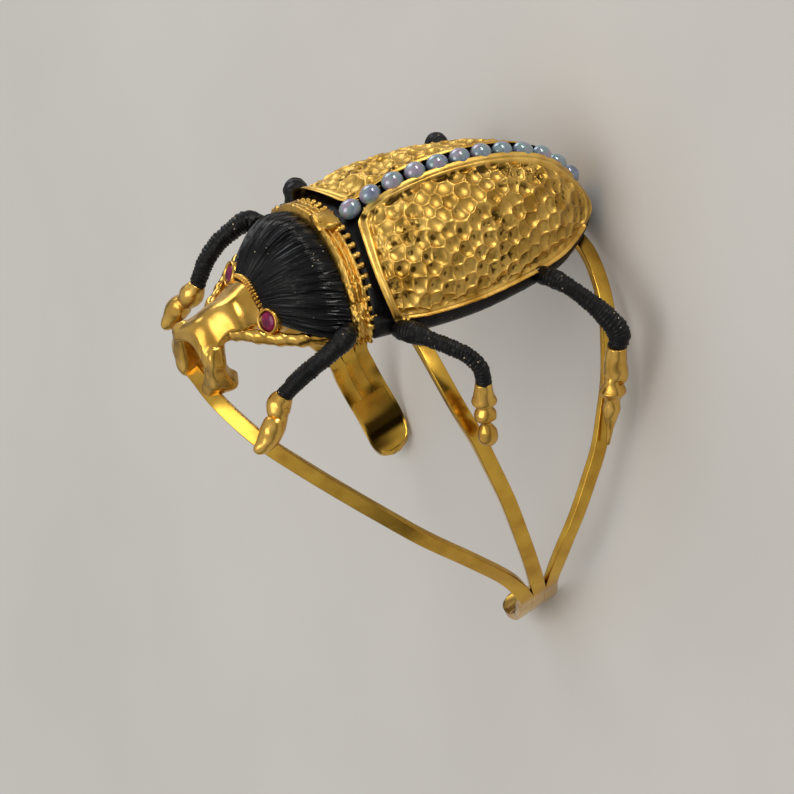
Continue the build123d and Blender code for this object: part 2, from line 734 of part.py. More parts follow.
def limb_path(rows, flank_y):
    """Points of a leg or a foot on the left side."""
    path = []
    for side, drop, ahead, _ in rows:
        y = flank_y + side * (CUFF_HALF_WIDTH - flank_y)
        path.append(Vector(ahead_x(ahead), y, HIP_Z - drop * CUFF_DROP))
    return path


# Legs from the flanks to the ankles, and feet from there on
limbs = {}
for place, leg_rows in LEG_ROUTES.items():
    foot_rows = FOOT_ROUTES[place]
    side = 1 if place.endswith("left") else -1
    flank_y = flank(leg_rows[0][2])
    leg_path = limb_path(leg_rows, flank_y)
    ankle = (leg_path[-1] - leg_path[-2]).normalized()
    ankle_top = leg_path[-1] + ankle * GAP
    foot_path = [ankle_top, ankle_top + ankle * ANKLE_LENGTH] + limb_path(foot_rows, flank_y)
    leg_radii = [row[-1] * LEG_RADIUS for row in leg_rows]
    foot_radii = [leg_radii[-1]] * 2 + [row[-1] * LEG_RADIUS for row in foot_rows]
    limb_kinds = (
        ("leg", leg_path, leg_radii, Vector(0, 1, 0)),
        ("foot", foot_path, foot_radii, ankle),
    )
    for kind, path, radii, start in limb_kinds:
        with BuildPart() as limb:
            add(tube([mirrored(point, side) for point in path], radii, mirrored(start, side)))
        limbs[f"{kind}_{place}"] = limb

# Turn that lays the bracelet on its tail and on the rear edges of its two tongues
tail_points = [point for ring in body_rings for point in ring]
tongue_points = [point for line in bar_lines(-1, bars[-1][1], -1, 1) for point in line]
rest_turn = 0.0
for _ in range(REST_TRY_COUNT):
    down = Vector(-cos(rest_turn), 0, -sin(rest_turn))
    tail_rest = max(tail_points, key=lambda point: point.dot(down))
    tongue_rest = max(tongue_points, key=lambda point: point.dot(down))
    rest_turn = atan2(tongue_rest.X - tail_rest.X, tail_rest.Z - tongue_rest.Z)
floor_reach = tail_rest.dot(Vector(-cos(rest_turn), 0, -sin(rest_turn)))
lay_down = Location((0, 0, floor_reach), (0, degrees(rest_turn) - 90, 0))
face_front = Location((0, 0, 0), (0, 0, 90))

pieces = {"abdomen": abdomen, "pronotum": pronotum, "collar": collar, "head": head, "cuff": cuff}
pieces.update(wing_cases)
pieces.update(pearls)
pieces.update(rubies)
pieces.update(limbs)
for piece in pieces.values():
    piece.part = piece.part.moved(lay_down).moved(face_front)
boxes = [piece.part.bounding_box() for piece in pieces.values()]
middle_y = (min(box.min.Y for box in boxes) + max(box.max.Y for box in boxes)) / 2
for name, piece in pieces.items():
    piece.part = piece.part.moved(Location((0, -middle_y, 0)))
    piece.part.label = name
    export_step(piece.part, f"parts/{name}.step")
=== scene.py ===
from itertools import product
from math import cos, pi, radians, sin
from types import SimpleNamespace

import bmesh
import bpy
import numpy as np
from mathutils import Matrix, Vector


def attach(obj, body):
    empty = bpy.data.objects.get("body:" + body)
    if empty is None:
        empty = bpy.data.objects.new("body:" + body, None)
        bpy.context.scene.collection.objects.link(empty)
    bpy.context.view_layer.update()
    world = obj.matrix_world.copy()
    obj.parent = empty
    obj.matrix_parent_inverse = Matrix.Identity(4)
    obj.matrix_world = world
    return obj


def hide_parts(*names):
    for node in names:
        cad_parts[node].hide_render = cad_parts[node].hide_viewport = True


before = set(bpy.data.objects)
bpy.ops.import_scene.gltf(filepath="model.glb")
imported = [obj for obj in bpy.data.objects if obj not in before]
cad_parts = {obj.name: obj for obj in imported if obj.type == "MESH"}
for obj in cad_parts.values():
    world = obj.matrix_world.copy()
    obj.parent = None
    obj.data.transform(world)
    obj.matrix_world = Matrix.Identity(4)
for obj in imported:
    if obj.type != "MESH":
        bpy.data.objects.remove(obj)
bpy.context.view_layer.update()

# Scarab bracelet. Shapes are drawn in millimetres on the standing beetle: its head points along
# +X, its left side along +Y and its back along +Z. laid() turns them into the row frame.
REST_TURN = 11.7095  # degrees
REST_LIFT = 25.6330
REST_MIDDLE = 20.1085
MM = 0.001

# Sizes shared with the solids
GAP = 0.12
BODY_FRONT_X = 15.3
BODY_LENGTH = 40.4
BODY_HALF_WIDTH = 14.2
BODY_HEIGHT = 12.7
RIM_Z = -2.0
RIM_DEPTH = 3.2
RIM_FLARE = 0.5
BODY_WALL = 1.2
HOLLOW_END = 0.86
CASE_COVER = 1.3
CASE_FRONT = 0.07
SEAM_HALF = 1.6
BORDER_WIDTH = 0.85
BORDER_LIFT = 0.35
PEARL_LENGTH = 3.1
PEARL_WIDTH = 2.4
PEARL_SPACE = 0.14
PEARL_COUNT = 12
PEARL_FIRST = 0.069
COLLAR_LENGTH = 2.6
COLLAR_HALF_WIDTH = 13.3
COLLAR_HEIGHT = 9.9
COLLAR_BASE_Z = -5.4
SHIELD_LENGTH = 9.5
SHIELD_HALF_WIDTH = 12.6
SHIELD_HEIGHT = 9.0
SHIELD_BASE_Z = -4.8
HEAD_LENGTH = 7.6
ARCH_POWER = 1.2
COLLAR_REAR_X = BODY_FRONT_X + GAP
SHIELD_REAR_X = COLLAR_REAR_X + COLLAR_LENGTH + GAP
SHIELD_FRONT_X = SHIELD_REAR_X + SHIELD_LENGTH
HEAD_REAR_X = SHIELD_FRONT_X + GAP
HEAD_FRONT_X = HEAD_REAR_X + HEAD_LENGTH
EYE = (26.89, 5.4, -4.9)
EYE_TURN = 16.0
EYE_LIFT = 15.0
LEG_RADIUS = 1.15
HIP_Z = -3.4
BAR_WIDTH = 2.1
BAR_THICK = 1.2
BAR_TOP_Z = -5.92
CUFF_HALF_WIDTH = 28.0
CUFF_DROP = 49.8
WRIST_DEPTH = 20.0
FRONT_TILT = 0.3
TONGUE_PITCH = 26.0

# Wing cases and body, from the front back: shares of length, half width and height
BODY_SHAPE = np.array((
    (0.00, 0.965, 0.520), (0.07, 0.965, 0.620), (0.17, 1.000, 0.820),
    (0.29, 0.985, 0.937), (0.40, 0.945, 0.992), (0.52, 0.865, 1.000),
    (0.64, 0.765, 0.953), (0.76, 0.625, 0.820), (0.86, 0.430, 0.583),
    (0.94, 0.235, 0.283), (0.985, 0.100, 0.080), (1.00, 0.030, 0.020),
))
# Rim of the body, from the wing cases down: share of the flare, share of the rim's depth
RIM_SHAPE = np.array(((0.30, 0.00), (1.00, 0.35), (0.70, 0.72), (-1.00, 1.00)))
# Shield, from the collar forwards: the columns of the body's table
SHIELD_SHAPE = np.array((
    (0.00, 1.000, 0.970), (0.20, 0.960, 1.000), (0.36, 0.890, 0.980),
    (0.56, 0.755, 0.870), (0.74, 0.605, 0.700), (0.86, 0.475, 0.520),
    (0.94, 0.350, 0.360), (1.00, 0.220, 0.250),
))


def laid(points):
    """Points of the standing beetle, in millimetres, as points of the row frame in metres."""
    x, y, z = np.asarray(points, float).reshape(-1, 3).T
    turn = radians(REST_TURN - 90)
    ahead = x * cos(turn) + z * sin(turn) - REST_MIDDLE
    up = z * cos(turn) - x * sin(turn) + REST_LIFT
    return np.stack([-y, ahead, up], axis=1) * MM


def through(knots, values, at):
    """Values at the given places of a smooth curve through the knots."""
    knots, values = np.asarray(knots, float), np.asarray(values, float)
    at = np.asarray(at, float)
    chord = (values[1:] - values[:-1]) / (knots[1:] - knots[:-1])[:, None]
    wide = (values[2:] - values[:-2]) / (knots[2:] - knots[:-2])[:, None]
    slopes = np.vstack([chord[:1], wide, chord[-1:]])
    i = np.clip(np.searchsorted(knots, at, side="right") - 1, 0, len(knots) - 2)
    span = (knots[i + 1] - knots[i])[:, None]
    t = (at - knots[i])[:, None] / span
    return (
        (2 * t**3 - 3 * t**2 + 1) * values[i]
        + (t**3 - 2 * t**2 + t) * span * slopes[i]
        + (3 * t**2 - 2 * t**3) * values[i + 1]
        + (t**3 - t**2) * span * slopes[i + 1]
    )


def unit(vectors):
    """Vectors of length 1 with the same directions."""
    return vectors / np.linalg.norm(vectors, axis=-1, keepdims=True)


def at_shares(table, shares):
    """A table's other columns at the given values of its first one, smooth between its rows."""
    return through(table[:, 0], table[:, 1:], shares)


def stretch(points):
    """Length from the first point to each point of a path."""
    steps = np.linalg.norm(np.diff(points, axis=0), axis=1)
    return np.concatenate([[0.0], np.cumsum(steps)])


def at_lengths(table, length, wanted):
    """Rows of a table at the wanted lengths along it."""
    return np.stack([np.interp(wanted, length, column) for column in table.T], axis=1)


def even_rows(table, spacing):
    """Rows of a table (a path's x, y, z and any other columns), smooth and evenly spaced."""
    table = np.asarray(table, float)
    knots = stretch(table[:, :3])
    fine = through(knots, table, np.linspace(0, knots[-1], 40 * len(table)))
    length = stretch(fine[:, :3])
    count = max(int(length[-1] / spacing), 2)
    return at_lengths(fine, length, np.linspace(0, length[-1], count))


def fade(value, low, high):
    """0 below low and 1 above high, smooth between them."""
    t = np.clip((value - low) / (high - low), 0, 1)
    return t * t * (3 - 2 * t)


def bell(value, middle, width):
    """1 at the middle, falling to 0 on both sides of it."""
    return np.exp(-(((value - middle) / width) ** 2))


CELL_PRIMES = (73856093, 19349663, 83492791)
SEED_PRIME = 2654435761
MIX_PRIME = 1274126177
HASH_MASK = 0x7FFFFFFF
HASH_LEVELS = 65536


def lattice(cell, seed):
    """A fixed number between -1 and 1 for each whole-number cell."""
    x, y, z = (cell * CELL_PRIMES).T
    mixed = (x ^ y ^ z ^ (seed * SEED_PRIME)) & HASH_MASK
    mixed = ((mixed ^ (mixed >> 13)) * MIX_PRIME) & HASH_MASK
    mixed = mixed ^ (mixed >> 16)
    return (mixed % HASH_LEVELS) / (HASH_LEVELS / 2) - 1


def noise(points, size, seed):
    """Smooth noise between -1 and 1 with lumps of the given size."""
    scaled = np.asarray(points, float) / size
    cell = np.floor(scaled).astype(np.int64)
    t = scaled - cell
    t = t * t * (3 - 2 * t)
    total = np.zeros(len(scaled))
    for corner in product((0, 1), repeat=3):
        weight = np.prod(np.where(corner, t, 1 - t), axis=1)
        total += weight * lattice(cell + np.array(corner), seed)
    return total


def textured(points, layers):
    """Sum of layers of noise, each with its height, size and seed."""
    return sum(height * noise(points, size, seed) for height, size, seed in layers)


def uneven(points, amount, size, seed):
    """Points shifted a little in each direction by noise, with three seeds in a row."""
    shifts = [noise(points, size, seed + k) for k in range(3)]
    return points + amount * np.stack(shifts, axis=1)


def arch_points(turns, half_width, crown_z, base_z):
    """Sides and heights (y, z) of an arched section, at turns from its crown."""
    z = base_z + (crown_z - base_z) * np.abs(np.cos(turns)) ** ARCH_POWER
    return half_width * np.sin(turns), z


def arch_turns(count):
    """Evenly spaced turns of an arched section, from its right foot to its left one."""
    return np.linspace(-pi / 2, pi / 2, count)


def swollen(points, axis_z, heights):
    """Points moved by the given heights, straight away from an axis along the beetle."""
    away = unit(points * (0, 1, 1) - (0, 0, axis_z))
    return points + away * heights[:, None]


def circle_turns(sides, shift=0.0):
    """Evenly spaced turns of a full circle, shifted by a share of a step."""
    return (np.arange(sides) + shift) * (2 * pi / sides)


def around(one, other, turns):
    """Directions turned from one axis towards the other."""
    return one * np.cos(turns)[:, None] + other * np.sin(turns)[:, None]


def grid_faces(rows, columns, wrap=False):
    """Quads of a grid of points, joined round in its columns if wrap is set."""
    index = np.arange(rows * columns).reshape(rows, columns)
    left, right = (index, np.roll(index, -1, axis=1)) if wrap else (index[:, :-1], index[:, 1:])
    quads = np.stack([left[:-1], right[:-1], right[1:], left[1:]], axis=-1)
    return quads.reshape(-1, 4).tolist()


def ring_solid(rings):
    """Points and faces of a closed solid through rings of equal length."""
    rings = np.asarray(rings, float)
    rows, columns = rings.shape[:2]
    faces = grid_faces(rows, columns, wrap=True)
    faces.append(list(range(columns))[::-1])
    faces.append(list(range((rows - 1) * columns, rows * columns)))
    return rings.reshape(-1, 3), faces


def joined(solids):
    """One list of points and one of faces from several."""
    points, faces, start = [], [], 0
    for some_points, some_faces in solids:
        points.append(np.asarray(some_points, float).reshape(-1, 3))
        faces += [[i + start for i in face] for face in some_faces]
        start += len(points[-1])
    return np.vstack(points), faces


def frames(path):
    """Directions across and up at each point of a path, without twist."""
    up = np.array((0.0, 0.0, 1.0))
    across_rows, up_rows = [], []
    for along in unit(np.gradient(path, axis=0)):
        across = unit(np.cross(along, up))
        up = np.cross(across, along)
        across_rows.append(across)
        up_rows.append(up)
    return np.array(across_rows), np.array(up_rows)


def new_object(name, data):
    """An object of the scene with its mesh, camera or light."""
    holder = bpy.data.objects.new(name, data)
    bpy.context.scene.collection.objects.link(holder)
    return holder


def new_piece(name, solid, material, flat=False):
    """A piece of the bracelet in the row frame, from beetle points in millimetres and faces."""
    points, faces = solid
    mesh = bpy.data.meshes.new(name)
    mesh.from_pydata(laid(points).tolist(), [], faces)
    mesh.validate()
    mesh.materials.append(material)
    mesh.polygons.foreach_set("use_smooth", [not flat] * len(mesh.polygons))
    piece = new_object(name, mesh)
    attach(piece, "root")
    return piece


def closed_piece(name, solid, material, flat=False):
    """A piece whose faces are turned outwards."""
    piece = new_piece(name, solid, material, flat)
    work = bmesh.new()
    work.from_mesh(piece.data)
    bmesh.ops.recalc_face_normals(work, faces=work.faces)
    work.to_mesh(piece.data)
    work.free()
    return piece


def store(piece, name, values):
    """Keeps a number for each point of a piece, for its material."""
    attribute = piece.data.attributes.new(name, "FLOAT", "POINT")
    attribute.data.foreach_set("value", np.asarray(values, np.float32))


def settle(piece):
    """Applies a piece's modifiers."""
    graph = bpy.context.evaluated_depsgraph_get()
    mesh = bpy.data.meshes.new_from_object(piece.evaluated_get(graph))
    piece.modifiers.clear()
    piece.data = mesh
    mesh.polygons.foreach_set("use_smooth", [True] * len(mesh.polygons))


# Materials

SHADER = "Principled BSDF"
MIX_BASE, MIX_OTHER, MIX_RESULT = 6, 7, 2  # the colour sockets of a Mix node
BLACK = (0.0, 0.0, 0.0)
WHITE = (1.0, 1.0, 1.0)
LIGHT_GOLD = (0.74, 0.46, 0.11)
DEEP_GOLD = (0.50, 0.27, 0.04)
CASE_GOLD = (0.93, 0.61, 0.155)
BAR_GOLD = (0.70, 0.43, 0.065)
# colour of the painted glints on the black plating
GLINT_COLOUR = (0.75, 0.62, 0.42)
SOOT_AND_SHADE_SHARE = 0.09  # colour of the soot and of the painted shade in the gold's hollows, as a share of the deep gold
DARK_SHARE = 0.30  # colour of the plating's dark patches, as a share of its sheen
SPECK_EDGE = 0.03  # how soft the specks' edges are, as a share of a cell
NACRE_COLOURS = (
    # place on the ramp, colour
    (0.28, (0.11, 0.14, 0.22)),
    (0.42, (0.22, 0.26, 0.38)),
    (0.52, (0.20, 0.31, 0.31)),
    (0.60, (0.32, 0.25, 0.36)),
    (0.72, (0.30, 0.34, 0.40)),
)
RUBY_COLOURS = ((0.35, (0.10, 0.0, 0.03)), (0.65, (0.26, 0.0, 0.08)))
GROUND_COLOURS = ((0.3, (0.60, 0.585, 0.56)), (0.7, (0.66, 0.645, 0.62)))


class Nodes:
    """The nodes of a material or of the world, with short calls for the kinds used here."""

    def __init__(self, owner, place="Object"):
        owner.use_nodes = True
        self.tree = owner.node_tree
        self.place = self.add("ShaderNodeTexCoord").outputs[place]

    def fill(self, node, inputs):
        """Links the sockets among a node's new inputs, and sets the plain values."""
        for key, value in inputs.items():
            if isinstance(value, bpy.types.NodeSocket):
                self.tree.links.new(value, node.inputs[key])
            else:
                node.inputs[key].default_value = value

    def add(self, kind, inputs=None, **settings):
        """A new node with its settings and inputs."""
        node = self.tree.nodes.new(kind)
        for key, value in settings.items():
            setattr(node, key, value)
        self.fill(node, inputs or {})
        return node

    def shade(self, inputs):
        """Gives the material's shader its inputs."""
        self.fill(self.tree.nodes[SHADER], inputs)

    def cloud(self, scale, detail):
        """Cloudy noise over the piece, from 0 to 1."""
        inputs = {"Vector": self.place, "Scale": scale, "Detail": detail}
        return self.add("ShaderNodeTexNoise", inputs).outputs["Fac"]

    def ramp(self, factor, *stops):
        """A colour ramp with the given (position, colour) stops."""
        node = self.add("ShaderNodeValToRGB", {"Fac": factor})
        elements = node.color_ramp.elements
        while len(elements) < len(stops):
            elements.new(0.5)
        for element, (position, colour) in zip(elements, stops):
            element.position = position
            element.color = (*colour, 1)
        return node.outputs["Color"]

    def mixed(self, factor, base, other):
        """A base colour that gives way to another one as the factor grows."""
        inputs = {"Factor": factor, MIX_BASE: base, MIX_OTHER: (*other, 1)}
        return self.add("ShaderNodeMix", inputs, data_type="RGBA").outputs[MIX_RESULT]

    def between(self, factor, low, high):
        """A factor from 0 to 1 as a number from low to high."""
        inputs = {"Value": factor, "To Min": low, "To Max": high}
        return self.add("ShaderNodeMapRange", inputs).outputs["Result"]

    def grain(self, scale, detail, strength, depth):
        """Fine unevenness of the surface; its depth is in metres."""
        inputs = {"Height": self.cloud(scale, detail), "Strength": strength, "Distance": depth}
        return self.add("ShaderNodeBump", inputs).outputs["Normal"]


def new_material(name):
    """A material and its nodes."""
    material = bpy.data.materials.new(name)
    return material, Nodes(material)


def darker(colour, share):
    """A share of a colour."""
    return tuple(share * value for value in colour)


def gold_material(name, light, rough, scale, strength):
    """Polished gilt: light on its faces, darkened by a share stored on the piece, which holds soot and
    painted shade, with fine unevenness.
    """
    material, nodes = new_material(name)
    cloud = nodes.cloud(scale=260.0, detail=4.0)
    soot_and_shade = nodes.add("ShaderNodeAttribute", attribute_name="soot_and_shade").outputs["Fac"]
    warm = nodes.ramp(cloud, (0.3, DEEP_GOLD), (0.62, light))
    nodes.shade({
        # soot and painted shade darken the base colour here
        "Base Color": nodes.mixed(soot_and_shade, warm, darker(DEEP_GOLD, SOOT_AND_SHADE_SHARE)),
        "Roughness": nodes.between(cloud, *rough),
        "Normal": nodes.grain(scale, detail=6.0, strength=strength, depth=0.0001),
        "Metallic": 1.0,
    })
    return material


def glint_specks(nodes, size):
    """White in tiny specks within noisy patches, where glints are painted, and black elsewhere."""
    cells = nodes.add("ShaderNodeTexVoronoi", {"Vector": nodes.place, "Scale": 1500.0})
    specks = nodes.ramp(cells.outputs["Distance"], (size, WHITE), (size + SPECK_EDGE, BLACK))
    patches = nodes.ramp(nodes.cloud(scale=320.0, detail=2.0), (0.56, BLACK), (0.64, WHITE))
    return nodes.add("ShaderNodeMath", {0: specks, 1: patches}, operation="MULTIPLY").outputs[0]


def black_material(name, sheen, rough, speck_size):
    """Black plating with a blue-grey sheen, fine grain and tiny bright specks of painted glint."""
    material, nodes = new_material(name)
    cloud = nodes.cloud(scale=500.0, detail=5.0)
    plating = nodes.ramp(cloud, (0.35, darker(sheen, DARK_SHARE)), (0.70, sheen))
    nodes.shade({
        "Base Color": nodes.mixed(glint_specks(nodes, speck_size), plating, GLINT_COLOUR),
        "Roughness": nodes.between(cloud, *rough),
        "Normal": nodes.grain(scale=2600.0, detail=4.0, strength=0.5, depth=0.00008),
        "Metallic": 0.0,
        "IOR": 1.3,
    })
    return material


def nacre_material():
    """Grey pearl with blue, green and pink clouds."""
    material, nodes = new_material("nacre")
    cloud = nodes.cloud(scale=420.0, detail=2.0)
    nodes.shade({
        "Base Color": nodes.ramp(cloud, *NACRE_COLOURS),
        "Roughness": nodes.between(cloud, 0.12, 0.3),
        "Normal": nodes.grain(scale=900.0, detail=3.0, strength=0.15, depth=0.0001),
        "Metallic": 0.35,
        "Coat Weight": 0.8,
        "Coat Roughness": 0.06,
        "Thin Film Thickness": 420.0,
        "Thin Film IOR": 1.5,
    })
    return material


def ruby_material():
    """Dark magenta stone."""
    material, nodes = new_material("ruby_stone")
    cloud = nodes.cloud(scale=900.0, detail=2.0)
    nodes.shade({
        "Base Color": nodes.ramp(cloud, *RUBY_COLOURS),
        "Roughness": nodes.between(cloud, 0.04, 0.12),
        "IOR": 1.4,
        "Coat Weight": 0.15,
        "Coat Roughness": 0.05,
    })
    return material


def floor_material():
    """Plain pale ground."""
    material, nodes = new_material("pale_ground")
    cloud = nodes.cloud(scale=14.0, detail=3.0)
    nodes.shade({"Base Color": nodes.ramp(cloud, *GROUND_COLOURS), "Roughness": 0.7})
    return material


case_gold = gold_material("case_gold", CASE_GOLD, (0.33, 0.45), scale=1400.0, strength=0.35)
cast_gold = gold_material("cast_gold", LIGHT_GOLD, (0.20, 0.32), scale=900.0, strength=0.22)
bar_gold = gold_material("bar_gold", BAR_GOLD, (0.15, 0.27), scale=700.0, strength=0.15)
rough_gold = gold_material("rough_gold", LIGHT_GOLD, (0.20, 0.42), scale=2200.0, strength=0.9)
shield_black = black_material("shield_black", (0.003, 0.0034, 0.005), (0.15, 0.27), 0.10)
body_black = black_material("body_black", (0.004, 0.004, 0.005), (0.34, 0.5), 0.08)
leg_black = black_material("leg_black", (0.005, 0.005, 0.006), (0.32, 0.5), 0.14)
nacre = nacre_material()
ruby_stone = ruby_material()


# Wing cases

CASE_ROWS = 360
CASE_COLUMNS = 190
CASE_THICK = 0.7
CASE_END = 0.955  # share of the body's length, just short of the solid's end
CASE_SINK = 0.02  # how far the whole surface lies under the solid's
FRONT_BOW = 1.4  # how far the middle of the front edge reaches towards the head
FRONT_CORNER = 1.5  # how far the front edge is rounded back at the seam
FRONT_CORNER_SHARE = 0.085  # its width, as a share of the wing case's
TAIL_CORNER = 1.3  # how far the corners of the rear edge are rounded forwards
TAIL_OUTER_SHARE = 0.5
TAIL_SEAM_SHARE = 0.3
FRONT_SLOPE = 1.15  # way over the dome for each millimetre ahead, near the front
TAIL_SLOPE = 1.5  # the same near the tail
CELL_PITCH = 2.15
CELL_ROW_PITCH = CELL_PITCH * 0.87
ROW_STRAY = 0.34  # how far cells stray along their row
AHEAD_STRAY = 0.32  # how far they stray ahead or back
CELL_WOBBLE = (0.12, 1.3, 2)  # unevenness of their edges: amount, size, first seed
CELL_DEPTH = 0.50
CELL_DEPTH_SHARES = (0.65, 1.25)  # least and greatest share of that depth
CELL_REACH = 1.24  # radius of a round dimple
CELL_ROUNDNESS = 0.8  # power of a dimple's section
CELL_PARTS = 20  # points are looked up in as many parts
RIDGE_WIDTH = 0.11
RIDGE_HEIGHT = 0.09
PIT_SIZE = 0.42
PIT_PATCH = 4.0
PIT_DEPTH = 0.12
BORDER_MIDDLE = 0.42
BORDER_ROUND = 0.43  # half the width of its round top
BORDER_CROWN = BORDER_LIFT * 0.8
GROOVE_WAY = 0.10  # how far the groove lies inside the border
GROOVE_WIDTH = 0.12
GROOVE_DEPTH = 0.10
SECOND_LINE = 1.55  # how far the second raised line lies behind the front edge
SECOND_WIDTH = 0.14
SECOND_HEIGHT = 0.12
SHADE_SPOT_SHIFT = (0.28, -0.34, 0.12)  # from a cell's middle to the middle of its spot of painted shade
SHADE_SPOT_RADIUS = (0.25, 0.55)  # where a spot of painted shade starts to fade and where it ends
SOOT_STRIP = (1.7, 2.2)  # the same for the sooty strip beside the seam
SOOT_AND_SHADE_TAIL_X = -12.0  # behind it, soot and the spots of painted shade are rare
SHADE_SPOT_SEEN = 0.3  # how much of the spots of painted shade shows there
PAINTED_SHADE_EVEN = 0.16  # painted shade: darkness of a whole case, of its bowls, of the spots and of the pits
PAINTED_SHADE_BOWL = 0.16
PAINTED_SHADE_SPOT = 0.9
PAINTED_SHADE_PIT = 0.7
# the most that the gold is darkened, by soot and by painted shade
SOOT_AND_SHADE_MOST = 0.95


def dome(along, turn, inset=0.0):
    """Points of the wing cases' dome; turn is 0 at the seam and pi / 2 at the outer edge."""
    along = np.full_like(turn, along)
    half_share, height_share = at_shares(BODY_SHAPE, along).T
    height = height_share * (BODY_HEIGHT - inset)
    y, z = arch_points(turn, half_share * (BODY_HALF_WIDTH - inset), RIM_Z + height, RIM_Z)
    return np.stack([BODY_FRONT_X - along * (BODY_LENGTH - inset), y, z], axis=1)


def body_half(along):
    """Half width of the body at each share of its length."""
    return at_shares(BODY_SHAPE, along)[:, 0] * BODY_HALF_WIDTH


def corner(way, reach):
    """How far a rounded corner draws its edge back: 1 at its tip, 0 from its reach on."""
    return np.clip(1 - way / reach, 0, 1) ** 2


def case_grid():
    """Shares along and turns over a wing case, row by row, and the shares at its two ends."""
    across = np.linspace(0, 1, CASE_COLUMNS)
    drawn_back = FRONT_CORNER * corner(across, FRONT_CORNER_SHARE) - FRONT_BOW * np.sin(pi * across)
    front = CASE_FRONT + drawn_back / BODY_LENGTH
    tail = corner(1 - across, TAIL_OUTER_SHARE) + 0.5 * corner(across, TAIL_SEAM_SHARE)
    back = CASE_END - tail * TAIL_CORNER / BODY_LENGTH
    down = np.linspace(0, 1, CASE_ROWS)[:, None]
    along = front + down * (back - front)
    half = body_half(along.ravel()).reshape(along.shape)
    seam = np.arcsin(np.minimum(SEAM_HALF / half, 0.99))
    turn = seam + across * (pi / 2 - seam)
    return along, turn, front, back


def case_ways(grid, behind_front, before_tail):
    """Distances of a wing case's points from its seam, front, tail and outer edge."""
    steps = np.linalg.norm(np.diff(grid, axis=1), axis=2)
    seam = np.hstack([np.zeros((CASE_ROWS, 1)), steps.cumsum(axis=1)])
    return SimpleNamespace(
        seam=seam.ravel(),
        front=(behind_front * BODY_LENGTH * FRONT_SLOPE).ravel(),
        tail=(before_tail * BODY_LENGTH * TAIL_SLOPE).ravel(),
        outer=(seam[:, -1:] - seam).ravel(),
    )


def case_seeds(random):
    """Middles of the hammered cells, in uneven rows over the dome."""
    seeds = []
    turns = np.linspace(0, pi / 2, 200)
    row_pitch = CELL_ROW_PITCH / BODY_LENGTH
    for k, along in enumerate(np.arange(CASE_FRONT - row_pitch, 1.0, row_pitch)):
        line = dome(min(along, 0.999), turns)
        length = stretch(line)
        wanted = np.arange(-0.5 + 0.5 * (k % 2), length[-1] / CELL_PITCH + 1) * CELL_PITCH
        wanted = wanted + random.normal(0, ROW_STRAY, len(wanted))
        spots = at_lengths(line, length, wanted)
        spots[:, 0] += random.normal(0, AHEAD_STRAY, len(spots))
        seeds.append(spots)
    return np.vstack(seeds)


def nearest_cells(points, seeds, random):
    """Distance of each point to its cell's edge, to its middle and to the middle of its spot of
    painted shade, and the cell's depth.
    """
    depths = random.uniform(*CELL_DEPTH_SHARES, len(seeds))
    parts = []
    for some in np.array_split(points, CELL_PARTS):
        away = np.linalg.norm(some[:, None, :] - seeds[None, :, :], axis=2)
        near = np.argpartition(away, 2, axis=1)[:, :2]
        pair = np.take_along_axis(away, near, axis=1)
        order = pair.argsort(axis=1)
        own, other = np.take_along_axis(near, order, axis=1).T
        first, second = np.take_along_axis(pair, order, axis=1).T
        spread = np.linalg.norm(seeds[own] - seeds[other], axis=1)
        edge = (second**2 - first**2) / (2 * spread)
        shade_spot_way = np.linalg.norm(some - seeds[own] - SHADE_SPOT_SHIFT, axis=1)
        parts.append((edge, first, shade_spot_way, depths[own]))
    return [np.concatenate(column) for column in zip(*parts)]


def hammered(points, random):
    """The hammered cells at points of the dome: their height, and where painted shade goes in them."""
    seeds = case_seeds(random)
    edge, middle, shade_spot_way, depth = nearest_cells(uneven(points, *CELL_WOBBLE), seeds, random)
    bowl = np.clip(1 - (middle / CELL_REACH) ** 2, 0, 1) ** CELL_ROUNDNESS
    ridge = bell(edge, 0.0, RIDGE_WIDTH)
    pits = fade(noise(points, PIT_SIZE, 7), 0.1, 0.4) * fade(noise(points, PIT_PATCH, 8), 0.0, 0.3)
    pits = pits * fade(bowl, 0.25, 0.7)
    height = RIDGE_HEIGHT * ridge - CELL_DEPTH * depth * bowl - PIT_DEPTH * pits * bowl
    # painted shade: a dark spot in each deep bowl, set off its middle to one side as a shadow falls
    spots = (1 - fade(shade_spot_way, *SHADE_SPOT_RADIUS)) * fade(depth, 0.7, 0.95)
    return SimpleNamespace(height=height, bowl=bowl, ridge=ridge, pits=pits, spots=spots)


def border_height(border_way, ways):
    """Height of the raised border, of the groove beside it and of the second line in front."""
    top = np.sqrt(np.clip(1 - ((border_way - BORDER_MIDDLE) / BORDER_ROUND) ** 2, 0, 1))
    border = BORDER_CROWN * top * (border_way < BORDER_WIDTH)
    groove = GROOVE_DEPTH * bell(border_way, BORDER_WIDTH + GROOVE_WAY, GROOVE_WIDTH)
    second = SECOND_HEIGHT * bell(ways.front, SECOND_LINE, SECOND_WIDTH) * (ways.seam > BORDER_WIDTH)
    return border - groove + second


